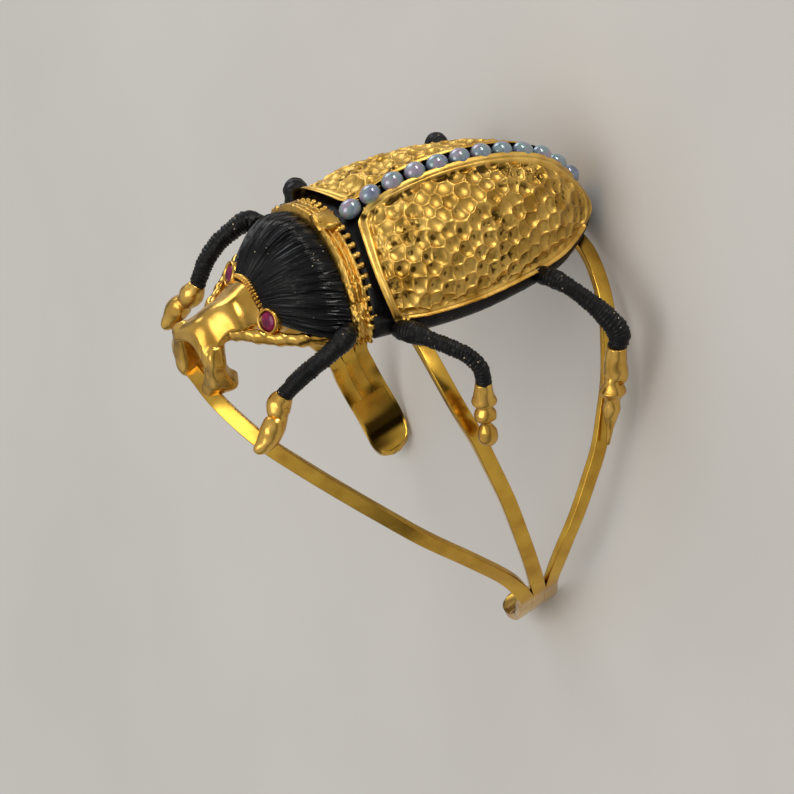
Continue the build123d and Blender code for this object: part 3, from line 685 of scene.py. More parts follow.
def case_soot_and_shade(points, seam_way, inside, cells):
    """How dark a wing case is: painted shade in its bowls, spots and pits, with its ridges left light
    as a painted highlight, and soot on a strip beside the seam.
    """
    strip = fade(seam_way, BORDER_WIDTH - 0.1, BORDER_WIDTH + 0.05) * (1 - fade(seam_way, *SOOT_STRIP))
    strip = strip * fade(noise(points, 0.6, 9), -0.1, 0.15) * fade(points[:, 0], SOOT_AND_SHADE_TAIL_X, -4.0)
    # the spots of painted shade show mostly low on the case and ahead of the tail
    lower = np.tile(fade(np.linspace(0, 1, CASE_COLUMNS), 0.2, 0.5), CASE_ROWS)
    often = SHADE_SPOT_SEEN + (1 - SHADE_SPOT_SEEN) * lower * fade(points[:, 0], SOOT_AND_SHADE_TAIL_X, 0.0)
    spots = cells.spots * often * fade(noise(points, 0.35, 10), -0.5, 0.1)
    # painted shade: all but the ridges darker, the bowls more and the spots most, and the pits too;
    # the strip beside the seam is soot
    bowls = (1 - cells.ridge) * (PAINTED_SHADE_EVEN + PAINTED_SHADE_BOWL * cells.bowl + PAINTED_SHADE_SPOT * spots)
    darkening = inside * (bowls + PAINTED_SHADE_PIT * cells.pits * cells.bowl) + SOOT_AND_SHADE_MOST * strip
    return np.clip(darkening, 0, SOOT_AND_SHADE_MOST)


def grid_normals(grid):
    """Unit directions out of a grid of points."""
    return unit(np.cross(np.gradient(grid, axis=1), np.gradient(grid, axis=0))).reshape(-1, 3)


def wing_case(name, side, seed):
    """A hammered wing case with a raised border along the seam and the front."""
    along, turn, front, back = case_grid()
    points = dome(along.ravel(), turn.ravel())
    grid = points.reshape(CASE_ROWS, CASE_COLUMNS, 3)
    ways = case_ways(grid, along - front, back - along)
    border_way = np.minimum.reduce([ways.seam, ways.front, ways.tail])
    cells = hammered(points, np.random.default_rng(seed))
    inside = fade(border_way, BORDER_WIDTH, BORDER_WIDTH + 0.3) * fade(ways.outer, 0.05, 0.7)
    height = border_height(border_way, ways) + inside * cells.height - CASE_SINK
    height = height * fade(ways.outer, -0.1, 0.3)
    points = (points + grid_normals(grid) * height[:, None]) * (1, side, 1)
    faces = grid_faces(CASE_ROWS, CASE_COLUMNS)
    if side > 0:
        faces = [face[::-1] for face in faces]
    piece = new_piece(f"wing_case_{name}", (points, faces), case_gold)
    # soot beside the seam, and painted shade in the bowls, spots and pits
    store(piece, "soot_and_shade", case_soot_and_shade(points, ways.seam, inside, cells))
    rim = piece.modifiers.new("rim", "SOLIDIFY")
    rim.thickness = CASE_THICK * MM
    rim.offset = -1
    rim.use_rim_only = True
    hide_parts(f"elytron_{name}")


wing_case("left", 1, 11)
wing_case("right", -1, 23)


# Black body, hollow from below

BODY_ROWS = 150
BODY_COLUMNS = 90
BODY_AXIS_Z = -1.5
BODY_TEXTURE = ((0.05, 0.45, 5), (0.07, 1.6, 6))  # height, size, seed
BODY_SINK = 0.11
TEXTURE_END_Z = -5.0  # the rim's underside stays smooth
RIM_ROWS = 14
HOLLOW_ROWS = 40
HOLLOW_MOUTH_Z = -8.0


def body_ring(along):
    """Closed section of the body: its covered back, and the rim down to its underside."""
    turns = arch_turns(BODY_COLUMNS)
    top = dome(along, turns, CASE_COVER)
    drop = np.linspace(0, 1, RIM_ROWS)
    flare = through(RIM_SHAPE[:, 1], RIM_SHAPE[:, :1], drop)[:, 0] * RIM_FLARE
    y = body_half([along]) + flare
    z = RIM_Z - GAP - drop * (RIM_DEPTH - GAP)
    x = np.full_like(drop, BODY_FRONT_X - along * BODY_LENGTH)
    left = np.stack([x, y, z], axis=1)
    right = left[::-1] * (1, -1, 1)
    return np.vstack([top, left, right])


def hollow_ring(along):
    """Section of the solid that cuts the hollow, open downwards."""
    turns = arch_turns(HOLLOW_ROWS)
    arch = dome(along, turns, CASE_COVER + BODY_WALL)
    mouth = arch[[-1, 0]] * (1, 1, 0) + (0, 0, HOLLOW_MOUTH_Z)
    return np.vstack([arch, mouth])


def body():
    """The black body with its fine texture and its hollow."""
    points, faces = ring_solid([body_ring(along) for along in np.linspace(0, 1, BODY_ROWS)])
    texture = (textured(points, BODY_TEXTURE) - BODY_SINK) * (points[:, 2] > TEXTURE_END_Z)
    points = swollen(points, BODY_AXIS_Z, texture)
    piece = closed_piece("black_body", (points, faces), body_black)
    alongs = np.linspace(BODY_WALL / BODY_LENGTH, HOLLOW_END, HOLLOW_ROWS)
    hollow = ring_solid([hollow_ring(along) for along in alongs])
    cutter = closed_piece("hollow", hollow, body_black)
    cut = piece.modifiers.new("hollow", "BOOLEAN")
    cut.operation = "DIFFERENCE"
    cut.object = cutter
    settle(piece)
    bpy.data.objects.remove(cutter)
    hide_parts("abdomen")


body()


# Pearls along the seam, with tiny beads between them

LEFT = np.array((0.0, 1.0, 0.0))
EGG_ROWS = 24
EGG_COLUMNS = 32
EGG_POLE = 0.02  # turn from a pole to the first ring
EGG_LUMP = 0.9  # size of an egg's lumps for a radius of 1
EGG_STEP = 3.7  # how far apart the noise of two seeds is taken
PEARL_LONG_SHARES = (1.03, 0.99, 1.01, 0.98)
PEARL_WIDE_SHARES = (1.14, 1.10, 1.12)
PEARL_SINK = 0.12
BEAD_RADIUS = 0.3
BEAD_SINK = 0.75
BEAD_SIDE = 0.95


def egg(middle, axes, halves, seed, bumps):
    """Points and faces of an uneven ball with three half sizes along its axes."""
    theta = np.linspace(EGG_POLE, pi - EGG_POLE, EGG_ROWS)[:, None]
    phi = circle_turns(EGG_COLUMNS)[None, :]
    along = np.cos(theta) * np.ones_like(phi)
    flat = np.stack([along, np.sin(theta) * np.cos(phi), np.sin(theta) * np.sin(phi)], axis=2)
    flat = flat.reshape(-1, 3)
    lumps = 0.5 + 0.5 * noise(flat + seed * EGG_STEP, EGG_LUMP, seed)
    flat = flat * (1 - bumps * lumps)[:, None] * halves
    placed = middle + flat @ np.asarray(axes)
    return ring_solid(placed.reshape(EGG_ROWS, EGG_COLUMNS, 3))


def pearl_places():
    """Middle of each pearl and its directions along the seam and up, pitch after pitch."""
    alongs = np.linspace(PEARL_FIRST, 1.0, 400)
    crown = dome(alongs, np.zeros_like(alongs), CASE_COVER)
    length = stretch(crown)
    places = []
    for k in range(PEARL_COUNT):
        i = int(np.searchsorted(length, k * (PEARL_LENGTH + PEARL_SPACE)))
        run = unit(crown[i] - crown[i + 1])
        up = np.cross(run, LEFT)
        places.append((crown[i] + up * (PEARL_WIDTH / 2 + GAP), run, up))
    return places


def pearls(places):
    """The pearls, which differ a little in length and width."""
    for k, (middle, run, up) in enumerate(places):
        long = PEARL_LENGTH / 2 * PEARL_LONG_SHARES[k % len(PEARL_LONG_SHARES)]
        wide = PEARL_WIDTH / 2 * PEARL_WIDE_SHARES[k % len(PEARL_WIDE_SHARES)]
        solid = egg(middle - up * PEARL_SINK, (run, LEFT, up), (long, wide, wide), k + 1, bumps=0.03)
        pearl = new_piece(f"seam_pearl_{k + 1:02d}", solid, nacre)
        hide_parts(f"pearl_{k + 1:02d}")


def seam_beads(places):
    """Tiny beads between the pearls, one on each side of the seam."""
    beads = []
    halves = (BEAD_RADIUS, BEAD_RADIUS, BEAD_RADIUS)
    for (one, run, up), (other, *_) in zip(places, places[1:]):
        for side in (1, -1):
            middle = (one + other) / 2 - up * BEAD_SINK + LEFT * side * BEAD_SIDE
            beads.append(egg(middle, (run, LEFT, up), halves, seed=3, bumps=0.1))
    new_piece("seam_beads", joined(beads), cast_gold)


pearls(pearl_places())
seam_beads(pearl_places())


# Collar

COLLAR_ROWS = 40
COLLAR_COLUMNS = 320
COLLAR_CROWN_Z = COLLAR_BASE_Z + COLLAR_HEIGHT
COLLAR_PROFILE = np.array((
    (0.00, -0.3), (0.06, 0.2), (0.16, 0.38), (0.26, 0.34),
    (0.35, -0.05), (0.44, 0.24), (0.56, 0.28),
    (0.66, -0.05), (0.75, 0.34), (0.88, 0.38), (1.00, -0.2),
))
COLLAR_LUMPS = ((0.10, 0.42, 31), (0.10, 0.9, 32))  # height, size, seed
COLLAR_SINK = 0.12
FLANK_GROWTH = 1.6  # how much higher the lumps are at the collar's ends
FLANK_WAY = (8.0, 12.0)
GRANULE_COUNT = 23
GRANULE_TURN = 76.0  # degrees from the crown to the last granule
GRANULE_BACK = 0.5  # from the collar's rear edge
GRANULE_LIFT = 0.2
GRANULE_SPREAD = 0.985  # share of the collar's width
GRANULE = (0.5, 0.48, 0.48)
STALK = (0.5, 0.42, 0.42)
STALK_SHIFT = (0.5, 0.0, -0.12)
CREST = np.array((
    # corners of its sections from the lowest up: ahead, to the left, height
    ((-0.1, -2.1, -0.4), (2.5, -2.4, -0.4), (2.7, 1.0, -0.4), (-0.1, 1.7, -0.4)),
    ((-0.2, -2.0, 0.3), (2.5, -2.3, 0.0), (2.7, 0.9, 0.0), (-0.2, 1.6, 0.3)),
    ((-0.2, -1.9, 0.9), (2.3, -2.1, 0.35), (2.5, 0.8, 0.35), (-0.2, 1.5, 0.9)),
    ((-0.1, -1.7, 1.05), (2.1, -1.9, 0.45), (2.3, 0.6, 0.45), (-0.1, 1.3, 1.05)),
))


def arched_solid(places, half_widths, crowns, base_z, columns):
    """Solid of arched sections, each with its place along the beetle, half width and crown."""
    turns = arch_turns(columns)
    rings = []
    for x, half_width, crown_z in zip(places, half_widths, crowns):
        y, z = arch_points(turns, half_width, crown_z, base_z)
        rings.append(np.stack([np.full_like(y, x), y, z], axis=1))
    return ring_solid(rings)


def collar_band():
    """The grooved band, with small lumps that grow towards its ends."""
    alongs = np.linspace(0, 1, COLLAR_ROWS)
    rise = at_shares(COLLAR_PROFILE, alongs)[:, 0]
    points, faces = arched_solid(
        COLLAR_REAR_X + alongs * COLLAR_LENGTH,
        COLLAR_HALF_WIDTH + rise,
        COLLAR_CROWN_Z + rise,
        COLLAR_BASE_Z,
        COLLAR_COLUMNS,
    )
    lumps = textured(points, COLLAR_LUMPS) - COLLAR_SINK
    lumps = lumps * (1 + FLANK_GROWTH * fade(np.abs(points[:, 1]), *FLANK_WAY))
    lumps = lumps * (points[:, 2] > COLLAR_BASE_Z + 0.05)
    return swollen(points, COLLAR_BASE_Z, lumps), faces


def granules():
    """Balls along the rear edge of the collar, each with a stalk."""
    solids = []
    axes = np.eye(3)
    for turn in np.radians(np.linspace(-GRANULE_TURN, GRANULE_TURN, GRANULE_COUNT)):
        y, z = arch_points(turn, COLLAR_HALF_WIDTH, COLLAR_CROWN_Z, COLLAR_BASE_Z)
        ball = np.array([COLLAR_REAR_X - GRANULE_BACK, y * GRANULE_SPREAD, z + GRANULE_LIFT])
        solids.append(egg(ball, axes, GRANULE, int(100 + 10 * turn), bumps=0.12))
        solids.append(egg(ball + STALK_SHIFT, axes, STALK, seed=5, bumps=0.1))
    return solids


def collar():
    """The grooved collar with its crest and stalked granules."""
    crest = ring_solid(CREST + (COLLAR_REAR_X, 0, COLLAR_CROWN_Z))
    solid = joined([collar_band(), *granules(), crest])
    piece = closed_piece("grooved_collar", solid, rough_gold)
    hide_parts("collar")


collar()


# Shield behind the head

SHIELD_ROWS = 70
SHIELD_COLUMNS = 560
COMB_SWAY = 0.02  # how far the combed lines sway, in radians
COMB_SWAYS = 5  # sways for each radian and from end to end
COMB_LAYERS = (
    # height, lines for each radian, lumps from end to end, place in the noise, seed
    (0.20, 46, 2.5, 0, 41),
    (0.11, 90, 4.0, 5, 42),
)
COMB_SINK = 0.25


def comb_relief():
    """Height of the combed lines at each point of the shield, row by row."""
    turn = np.tile(arch_turns(SHIELD_COLUMNS), SHIELD_ROWS)
    along = np.repeat(np.linspace(0, 1, SHIELD_ROWS), SHIELD_COLUMNS)
    level = np.zeros_like(turn)
    turn = turn + COMB_SWAY * noise(COMB_SWAYS * np.stack([turn, along, level], axis=1), 1.0, 43)
    total = level - COMB_SINK
    for height, lines, lumps, place, seed in COMB_LAYERS:
        at = np.stack([turn * lines, along * lumps, level + place], axis=1)
        total += height * noise(at, 1.0, seed)
    return total


def shield():
    """The black shield with its fine combed lines."""
    alongs = np.linspace(0, 1, SHIELD_ROWS)
    half_share, height_share = at_shares(SHIELD_SHAPE, alongs).T
    points, faces = arched_solid(
        SHIELD_REAR_X + alongs * SHIELD_LENGTH,
        half_share * SHIELD_HALF_WIDTH,
        SHIELD_BASE_Z + height_share * SHIELD_HEIGHT,
        SHIELD_BASE_Z,
        SHIELD_COLUMNS,
    )
    comb = comb_relief() * fade(points[:, 2], SHIELD_BASE_Z, SHIELD_BASE_Z + 0.5)
    points = swollen(points, SHIELD_BASE_Z, comb)
    piece = closed_piece("combed_shield", (points, faces), shield_black)
    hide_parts("pronotum")


shield()


# Routes of legs, feet and bars

FLANK_Y = {"front": 12.70, "middle": 14.63, "hind": 11.40}
# Shares, nearly all as in the solids: side, out to the cuff's side from the flank, or from the
# middle for a bar; drop, of the cuff's drop; ahead, of the way to the head's front, or of the
# body's length where it is negative; radius, of the leg's.
LEG_ROUTES = {
    "front_left": (
        # side, drop, ahead, radius
        (0.000, 0.004, 0.204, 1.30), (0.078, 0.002, 0.259, 1.35),
        (0.105, 0.025, 0.349, 1.17), (0.098, 0.058, 0.449, 1.13),
        (0.046, 0.112, 0.548, 1.09), (-0.013, 0.169, 0.608, 1.00),
    ),
    "front_right": (
        (0.000, 0.004, 0.204, 1.30), (0.050, 0.002, 0.262, 1.35),
        (0.065, 0.027, 0.352, 1.17), (0.070, 0.061, 0.449, 1.13),
        (0.034, 0.114, 0.548, 1.09), (-0.013, 0.169, 0.608, 1.00),
    ),
    "middle_left": (
        (0.000, 0.000, -0.077, 1.22), (0.146, -0.014, -0.092, 1.35),
        (0.332, -0.022, -0.121, 1.00), (0.517, -0.025, -0.158, 1.00),
        (0.666, -0.016, -0.198, 1.00), (0.777, 0.010, -0.228, 1.00),
        (0.829, 0.052, -0.238, 0.96),
    ),
    "middle_right": (
        (0.000, 0.000, -0.077, 1.22), (0.095, -0.018, -0.087, 1.45),
        (0.170, -0.010, -0.101, 1.45), (0.200, 0.020, -0.109, 1.20),
        (0.207, 0.056, -0.109, 1.10), (0.222, 0.088, -0.111, 1.00),
    ),
    "hind_left": (
        (0.000, -0.010, -0.656, 1.13), (0.102, -0.022, -0.668, 1.22),
        (0.257, -0.022, -0.696, 1.04), (0.449, -0.004, -0.739, 1.17),
        (0.593, 0.025, -0.778, 1.35), (0.677, 0.058, -0.802, 1.39),
        (0.707, 0.090, -0.790, 1.13),
    ),
    "hind_right": (
        (0.000, -0.010, -0.656, 1.13), (0.102, -0.022, -0.658, 1.22),
        (0.259, -0.028, -0.666, 1.04), (0.398, -0.026, -0.676, 1.17),
        (0.518, -0.010, -0.691, 1.35), (0.614, 0.030, -0.723, 1.39),
        (0.675, 0.084, -0.760, 1.13),
    ),
}
FOOT_ROUTES = {
    "front_left": (
        # side, drop, ahead, radius
        (-0.013, 0.191, 0.633, 1.39), (0.013, 0.211, 0.648, 1.35),
        (0.039, 0.227, 0.656, 1.17), (0.065, 0.242, 0.689, 1.35),
        (0.092, 0.263, 0.722, 1.35), (0.105, 0.286, 0.762, 1.13),
        (0.105, 0.305, 0.802, 0.91), (0.105, 0.317, 0.812, 0.52),
    ),
    "front_right": (
        (-0.013, 0.191, 0.633, 1.39), (0.013, 0.211, 0.648, 1.35),
        (0.039, 0.227, 0.656, 1.17), (0.065, 0.245, 0.677, 1.35),
        (0.092, 0.269, 0.698, 1.35), (0.105, 0.295, 0.726, 1.13),
        (0.105, 0.317, 0.757, 0.91), (0.105, 0.329, 0.767, 0.52),
    ),
    "middle_left": (
        (0.852, 0.085, -0.240, 1.26), (0.866, 0.106, -0.243, 1.39),
        (0.874, 0.117, -0.245, 1.00), (0.889, 0.137, -0.248, 1.26),
        (0.903, 0.155, -0.250, 1.26), (0.918, 0.167, -0.252, 0.83),
        (0.938, 0.192, -0.257, 1.17), (0.950, 0.221, -0.264, 1.13),
        (0.953, 0.241, -0.268, 0.52),
    ),
    "middle_right": (
        (0.267, 0.129, -0.116, 1.30), (0.319, 0.149, -0.124, 1.30),
        (0.379, 0.167, -0.134, 1.10), (0.424, 0.179, -0.141, 1.00),
        (0.469, 0.191, -0.146, 0.60),
    ),
    "hind_left": (
        (0.725, 0.141, -0.794, 1.35), (0.743, 0.181, -0.800, 1.39),
        (0.754, 0.193, -0.786, 1.00), (0.772, 0.221, -0.788, 1.50),
        (0.790, 0.245, -0.788, 1.04), (0.808, 0.277, -0.787, 1.13),
        (0.838, 0.321, -0.784, 0.78), (0.888, 0.379, -0.776, 0.52),
    ),
    "hind_right": (
        (0.712, 0.148, -0.785, 1.35), (0.735, 0.186, -0.798, 1.39),
        (0.754, 0.198, -0.786, 1.00), (0.772, 0.223, -0.788, 1.26),
        (0.790, 0.247, -0.788, 1.04), (0.808, 0.277, -0.787, 1.13),
        (0.838, 0.321, -0.784, 0.78), (0.888, 0.379, -0.776, 0.52),
    ),
}


def shares_place(row, flank_y, top_z):
    """Place (x, y, z) on the left side of a row of shares."""
    side, drop, ahead = row[:3]
    reach = HEAD_FRONT_X - BODY_FRONT_X if ahead > 0 else BODY_LENGTH
    y = flank_y + side * (CUFF_HALF_WIDTH - flank_y)
    return BODY_FRONT_X + ahead * reach, y, top_z - drop * CUFF_DROP


# Legs and feet

CORD_PITCH = 0.5
CORD_DEPTH = 0.14
CORD_SINK = 0.03
CORD_ROUNDNESS = 0.6  # power of the cord's section
CORD_SWAYS = (
    # sway, radians for each millimetre, waves round
    (1.1, 1.7, 0), (0.6, 2.3, 2), (0.5, 5.1, 0),
)
KNOB_WAY = (1.2, 2.2)  # where the cast knob at the hip ends and where the cord is whole
FLANK_REACH = 0.9  # how far a leg reaches into the flank
LEG_LUMPS = (0.10, 0.55, 51)  # amount, size, first seed
LOBE_RADIUS = 1.3
LOBE_CONTRAST = 1.5  # how much deeper the waists between the lobes are than in the solid
FOOT_SHARE = 0.97
FOOT_SINK = 0.05
FLUTE_COUNT = 4
FLUTE_DEPTH = 0.025
FLUTE_SWAY = 0.8
FOOT_LUMPS = (0.07, 0.9, 61)
ANKLE_OVERLAP = 0.25
ANKLE_SHARE = 1.08  # radius of a foot's top, as a share of its leg's


def limb_path(place, rows):
    """Points and radii of a leg or a foot from its shares."""
    flank_y = FLANK_Y[place.split("_")[0]]
    side = 1 if place.endswith("left") else -1
    path = []
    for row in rows:
        x, y, z = shares_place(row, flank_y, HIP_Z)
        path.append((x, side * y, z, row[3] * LEG_RADIUS))
    return np.array(path)


def tube(rows, section, spacing, sides):
    """Solid along a path; section gives the radius at each ring and turn from its row."""
    rows = even_rows(rows, spacing)
    path = rows[:, :3]
    across, up = frames(path)
    turns = circle_turns(sides)
    radius = section(rows, stretch(path)[:, None], turns[None, :])
    ring = around(across[:, None, :], up[:, None, :], turns)
    return ring_solid(path[:, None, :] + ring * radius[:, :, None])


def round_end(way, reach, least):
    """Share of the radius near a rounded end: least at the end, 1 from its reach on."""
    return np.sqrt(np.clip(1 - (1 - np.minimum(way / reach, 1.0)) ** 2, least, 1))


def waves(length, turn, table):
    """Sum of waves, each with its height and its rates along the length and round the turn."""
    return sum(height * np.sin(length * rate + turn * about) for height, rate, about in table)


def cord_section(rows, length, turn):
    """Radius of a leg that looks wound with cord, with a smooth cast knob at its hip."""
    base = rows[:, 3][:, None] - CORD_SINK
    wound = fade(length, *KNOB_WAY)
    phase = 2 * pi * length / CORD_PITCH + turn + waves(length, turn, CORD_SWAYS)
    valley = 1 - (0.5 + 0.5 * np.cos(phase)) ** CORD_ROUNDNESS
    return (base - CORD_DEPTH * valley * wound) * round_end(length, reach=0.6, least=0.02)


def leg(place):
    """A black leg from the flank to the ankle."""
    rows = limb_path(place, LEG_ROUTES[place])
    start = rows[0].copy()
    start[1] -= np.sign(start[1]) * FLANK_REACH
    points, faces = tube(np.vstack([start, rows]), cord_section, spacing=0.085, sides=40)
    points = uneven(points, *LEG_LUMPS)
    piece = closed_piece(f"wound_leg_{place}", (points, faces), leg_black)
    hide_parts(f"leg_{place}")


def foot_section(rows, length, turn):
    """Radius of a cast foot: its lobes, with shallow flutes along them."""
    base = LOBE_RADIUS + LOBE_CONTRAST * (rows[:, 3][:, None] - LOBE_RADIUS)
    flutes = FLUTE_DEPTH * np.cos(turn * FLUTE_COUNT + FLUTE_SWAY * np.sin(length * 2))
    top = round_end(length, reach=0.15, least=0.3)
    tip = round_end(length[-1] - length, reach=0.5, least=0.02)
    return (base * FOOT_SHARE - FOOT_SINK + flutes) * top * tip


def foot(place):
    """A gold foot from the ankle to its end on a bar."""
    before, last = limb_path(place, LEG_ROUTES[place])[-2:]
    ankle = unit(last[:3] - before[:3])
    top = np.append(last[:3] - ankle * ANKLE_OVERLAP, last[3] * ANKLE_SHARE)
    rows = np.vstack([top, limb_path(place, FOOT_ROUTES[place])])
    points, faces = tube(rows, foot_section, spacing=0.1, sides=44)
    points = uneven(points, *FOOT_LUMPS)
    piece = closed_piece(f"cast_foot_{place}", (points, faces), cast_gold)
    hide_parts(f"foot_{place}")


for place in LEG_ROUTES:
    leg(place)
    foot(place)


# Cuff

FRONT_BAR = (
    # side, drop, ahead
    (0.000, 0.224, 0.872), (0.155, 0.224, 0.872), (0.300, 0.243, 0.808),
    (0.446, 0.275, 0.693), (0.564, 0.313, 0.533), (0.689, 0.365, 0.319),
    (0.814, 0.424, 0.075), (0.911, 0.502, -0.106), (0.968, 0.604, -0.292),
    (0.984, 0.700, -0.441),
)
MIDDLE_BAR = (
    (0.000, 0.000, -0.168), (0.290, 0.000, -0.167), (0.465, 0.007, -0.162),
    (0.590, 0.026, -0.164), (0.714, 0.070, -0.181), (0.814, 0.130, -0.213),
    (0.893, 0.215, -0.270), (0.946, 0.290, -0.312), (0.982, 0.389, -0.371),
    (1.000, 0.490, -0.426), (0.999, 0.644, -0.510),
)
REAR_BAR = (
    (0.000, 0.000, -0.936), (0.180, 0.007, -0.938), (0.357, 0.030, -0.918),
    (0.500, 0.063, -0.892), (0.600, 0.102, -0.867), (0.743, 0.186, -0.826),
    (0.821, 0.271, -0.795), (0.893, 0.353, -0.760), (0.939, 0.435, -0.720),
    (0.982, 0.527, -0.675), (1.000, 0.622, -0.636),
)
TONGUE = (
    # side, drop, ahead, width
    (0.971, 0.773, -0.577, 1.00), (0.932, 0.821, -0.599, 1.00),
    (0.879, 0.877, -0.631, 1.00), (0.814, 0.927, -0.661, 1.00),
    (0.750, 0.961, -0.676, 1.00), (0.686, 0.980, -0.678, 0.94),
    (0.632, 0.988, -0.676, 0.70), (0.604, 0.992, -0.673, 0.20),
)
BAR_SECTION = np.array((
    # across, out: shares of half the width and half the thickness
    (-1.00, -0.70), (-0.99, -0.88), (-0.95, -0.98), (-0.85, -1.00),
    (0.85, -1.00), (0.95, -0.98), (0.99, -0.88), (1.00, -0.70),
    (1.00, 0.70), (0.99, 0.88), (0.95, 0.98), (0.85, 1.00),
    (-0.85, 1.00), (-0.95, 0.98), (-0.99, 0.88), (-1.00, 0.70),
))
TONGUE_WIDTHS = np.array([row[3] for row in TONGUE])
TONGUE_ACROSS = np.array((cos(radians(TONGUE_PITCH)), 0, -sin(radians(TONGUE_PITCH))))
BAR_HALF_THICK = BAR_THICK / 2 - 0.07
END_ROW = 2  # row of the tongue's table where its smooth plate starts
END_THICK = BAR_THICK / 2 - 0.05
END_SINK = 0.05  # how far the plate starts under its full thickness
END_RISE = 14  # rows that it takes to rise
END_HALF_WIDTH = 1.5 * BAR_WIDTH - 0.1
CUFF_LUMPS = (0.006, 3.0, 71)  # amount, size, first seed
# noisy dark patches on the bars' inner faces, low on the cuff and in its tongues
DARK_PATCH_STRETCH = (2.2, 1, 0.45)
DARK_PATCH_SIZE = 2.6
DARK_PATCH_DEPTH = (38.0, 43.0)  # where the darkening inside the cuff starts and where it is whole


def facing(directions, toward):
    """Directions, turned round where they point away from the others."""
    ahead = (directions * toward).sum(axis=1, keepdims=True) > 0
    return np.where(ahead, directions, -directions)


def bar_rows(table):
    """Places of a bar's rows on the left side."""
    return np.array([shares_place(row, 0.0, BAR_TOP_Z) for row in table])


def bar_frame(path, tilt, lean):
    """Directions across and outwards along a bar; lean is 1 in the tongue and 0 before it."""
    along = np.gradient(path, axis=0)
    along[0] = LEFT
    along = unit(along)
    x, y, z = path.T
    out = np.stack([tilt * x * (1 - lean), y, z - BAR_TOP_Z + WRIST_DEPTH], axis=1)
    across = facing(unit(np.cross(along, out)), (1, 0, 0))
    across = unit(across * (1 - lean[:, None]) + TONGUE_ACROSS * lean[:, None])
    return across, facing(unit(np.cross(along, across)), out)


def strip(rows, tilt, lean, half_width, half_thick):
    """Rings of the bars' section along rows of x, y, z and a share of the width."""
    across, out = bar_frame(rows[:, :3], tilt, lean)
    wide = BAR_SECTION[None, :, :1] * (half_width * rows[:, 3])[:, None, None]
    high = BAR_SECTION[None, :, 1:] * half_thick[:, None, None]
    return rows[:, None, :3] + across[:, None, :] * wide + out[:, None, :] * high


def mirrored(rings):
    """The same rings on the other side, in reverse order."""
    return (rings * (1, -1, 1))[::-1]


def bar_solid(slot, table, tilt):
    """One bar from the tip of one tongue to the tip of the other."""
    free = bar_rows(table)
    tongue = bar_rows(TONGUE) + TONGUE_ACROSS * BAR_WIDTH * slot * TONGUE_WIDTHS[:, None]
    width = np.concatenate([np.ones(len(free)), TONGUE_WIDTHS])
    lean = np.concatenate([np.zeros(len(free)), np.ones(len(tongue))])
    rows = even_rows(np.column_stack([np.vstack([free, tongue]), width, lean]), 0.45)
    thick = np.full(len(rows), BAR_HALF_THICK)
    left = strip(rows, tilt, np.clip(rows[:, 4], 0, 1), BAR_WIDTH / 2, thick)
    return ring_solid(np.vstack([mirrored(left), left[1:]]))


def tongue_plates():
    """The smooth plates that the bars are melted into at the ends of the tongues."""
    rows = even_rows(np.column_stack([bar_rows(TONGUE), TONGUE_WIDTHS])[END_ROW:], 0.3)
    thick = END_THICK - END_SINK * (1 - fade(np.arange(len(rows)), 0, END_RISE))
    left = strip(rows, 0.0, np.ones(len(rows)), END_HALF_WIDTH, thick)
    return [ring_solid(left), ring_solid(mirrored(left))]


def cuff():
    """The three bars, which run side by side in the tongues."""
    tables = ((1, FRONT_BAR, FRONT_TILT), (0, MIDDLE_BAR, 0.0), (-1, REAR_BAR, 0.0))
    bars = [bar_solid(slot, table, tilt) for slot, table, tilt in tables]
    points, faces = joined([*bars, *tongue_plates()])
    inner = np.tile(BAR_SECTION[:, 1] < 0, len(points) // len(BAR_SECTION))
    # darker in noisy patches on the bars' inner faces, low on the cuff
    darkening = fade(noise(points * DARK_PATCH_STRETCH, DARK_PATCH_SIZE, 74), -0.1, 0.4)
    darkening = darkening * fade(-points[:, 2], *DARK_PATCH_DEPTH)
    points = uneven(points, *CUFF_LUMPS)
    piece = closed_piece("cuff_bars", (points, faces), bar_gold)
    store(piece, "soot_and_shade", SOOT_AND_SHADE_MOST * darkening * inner)
    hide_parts("cuff")


cuff()


# Head

BROW = np.array((
    # ahead, half width, top and underside at the middle, top and underside at the edge
    (26.6, 4.7, -2.1, -6.4, -5.0, -6.9), (27.7, 4.4, -2.8, -6.7, -5.6, -7.1),
    (29.2, 4.0, -3.8, -7.2, -6.1, -8.0), (30.4, 3.5, -4.2, -7.4, -6.2, -8.3),
    (31.4, 3.0, -4.7, -7.8, -6.5, -8.7), (32.3, 2.9, -5.5, -8.6, -7.6, -9.8),
    (33.2, 3.2, -6.6, -9.3, -9.0, -11.2), (34.2, 3.8, -7.4, -10.4, -10.4, -12.4),
    (35.0, 3.7, -8.4, -10.6, -11.0, -12.4),
))
MANDIBLE = np.array((
    # height, rear, front, inner, outer
    (-9.2, 33.0, 34.2, 2.3, 3.5), (-10.2, 32.8, 34.9, 2.1, 4.3),
    (-11.2, 32.7, 34.9, 2.3, 4.7), (-12.4, 32.4, 34.7, 2.3, 4.6),
    (-13.4, 31.6, 34.5, 2.2, 4.6), (-14.2, 30.6, 34.4, 2.1, 4.8),
    (-15.0, 30.1, 34.3, 2.0, 4.9), (-15.7, 30.7, 34.2, 1.9, 4.5),
    (-16.4, 32.0, 34.2, 1.8, 4.1), (-17.2, 32.3, 34.1, 1.9, 3.7),
    (-17.9, 32.7, 33.7, 2.2, 3.3),
))
BAY_SLANT = 1.5  # how much deeper a mandible is at its inner side
BROW_ROWS = 40
BROW_COLUMNS = 25
BROW_FALL = 1.6  # power of its section
BROW_UNDER = 0.93  # width of the underside, as a share of the top's
MANDIBLE_ROWS = 44
MANDIBLE_SIDES = 32
MANDIBLE_ROUNDNESS = 0.45  # 1 for an oval section, 0 for a rectangle
NECK_X = 30.6
NECK_REACH = 1.7
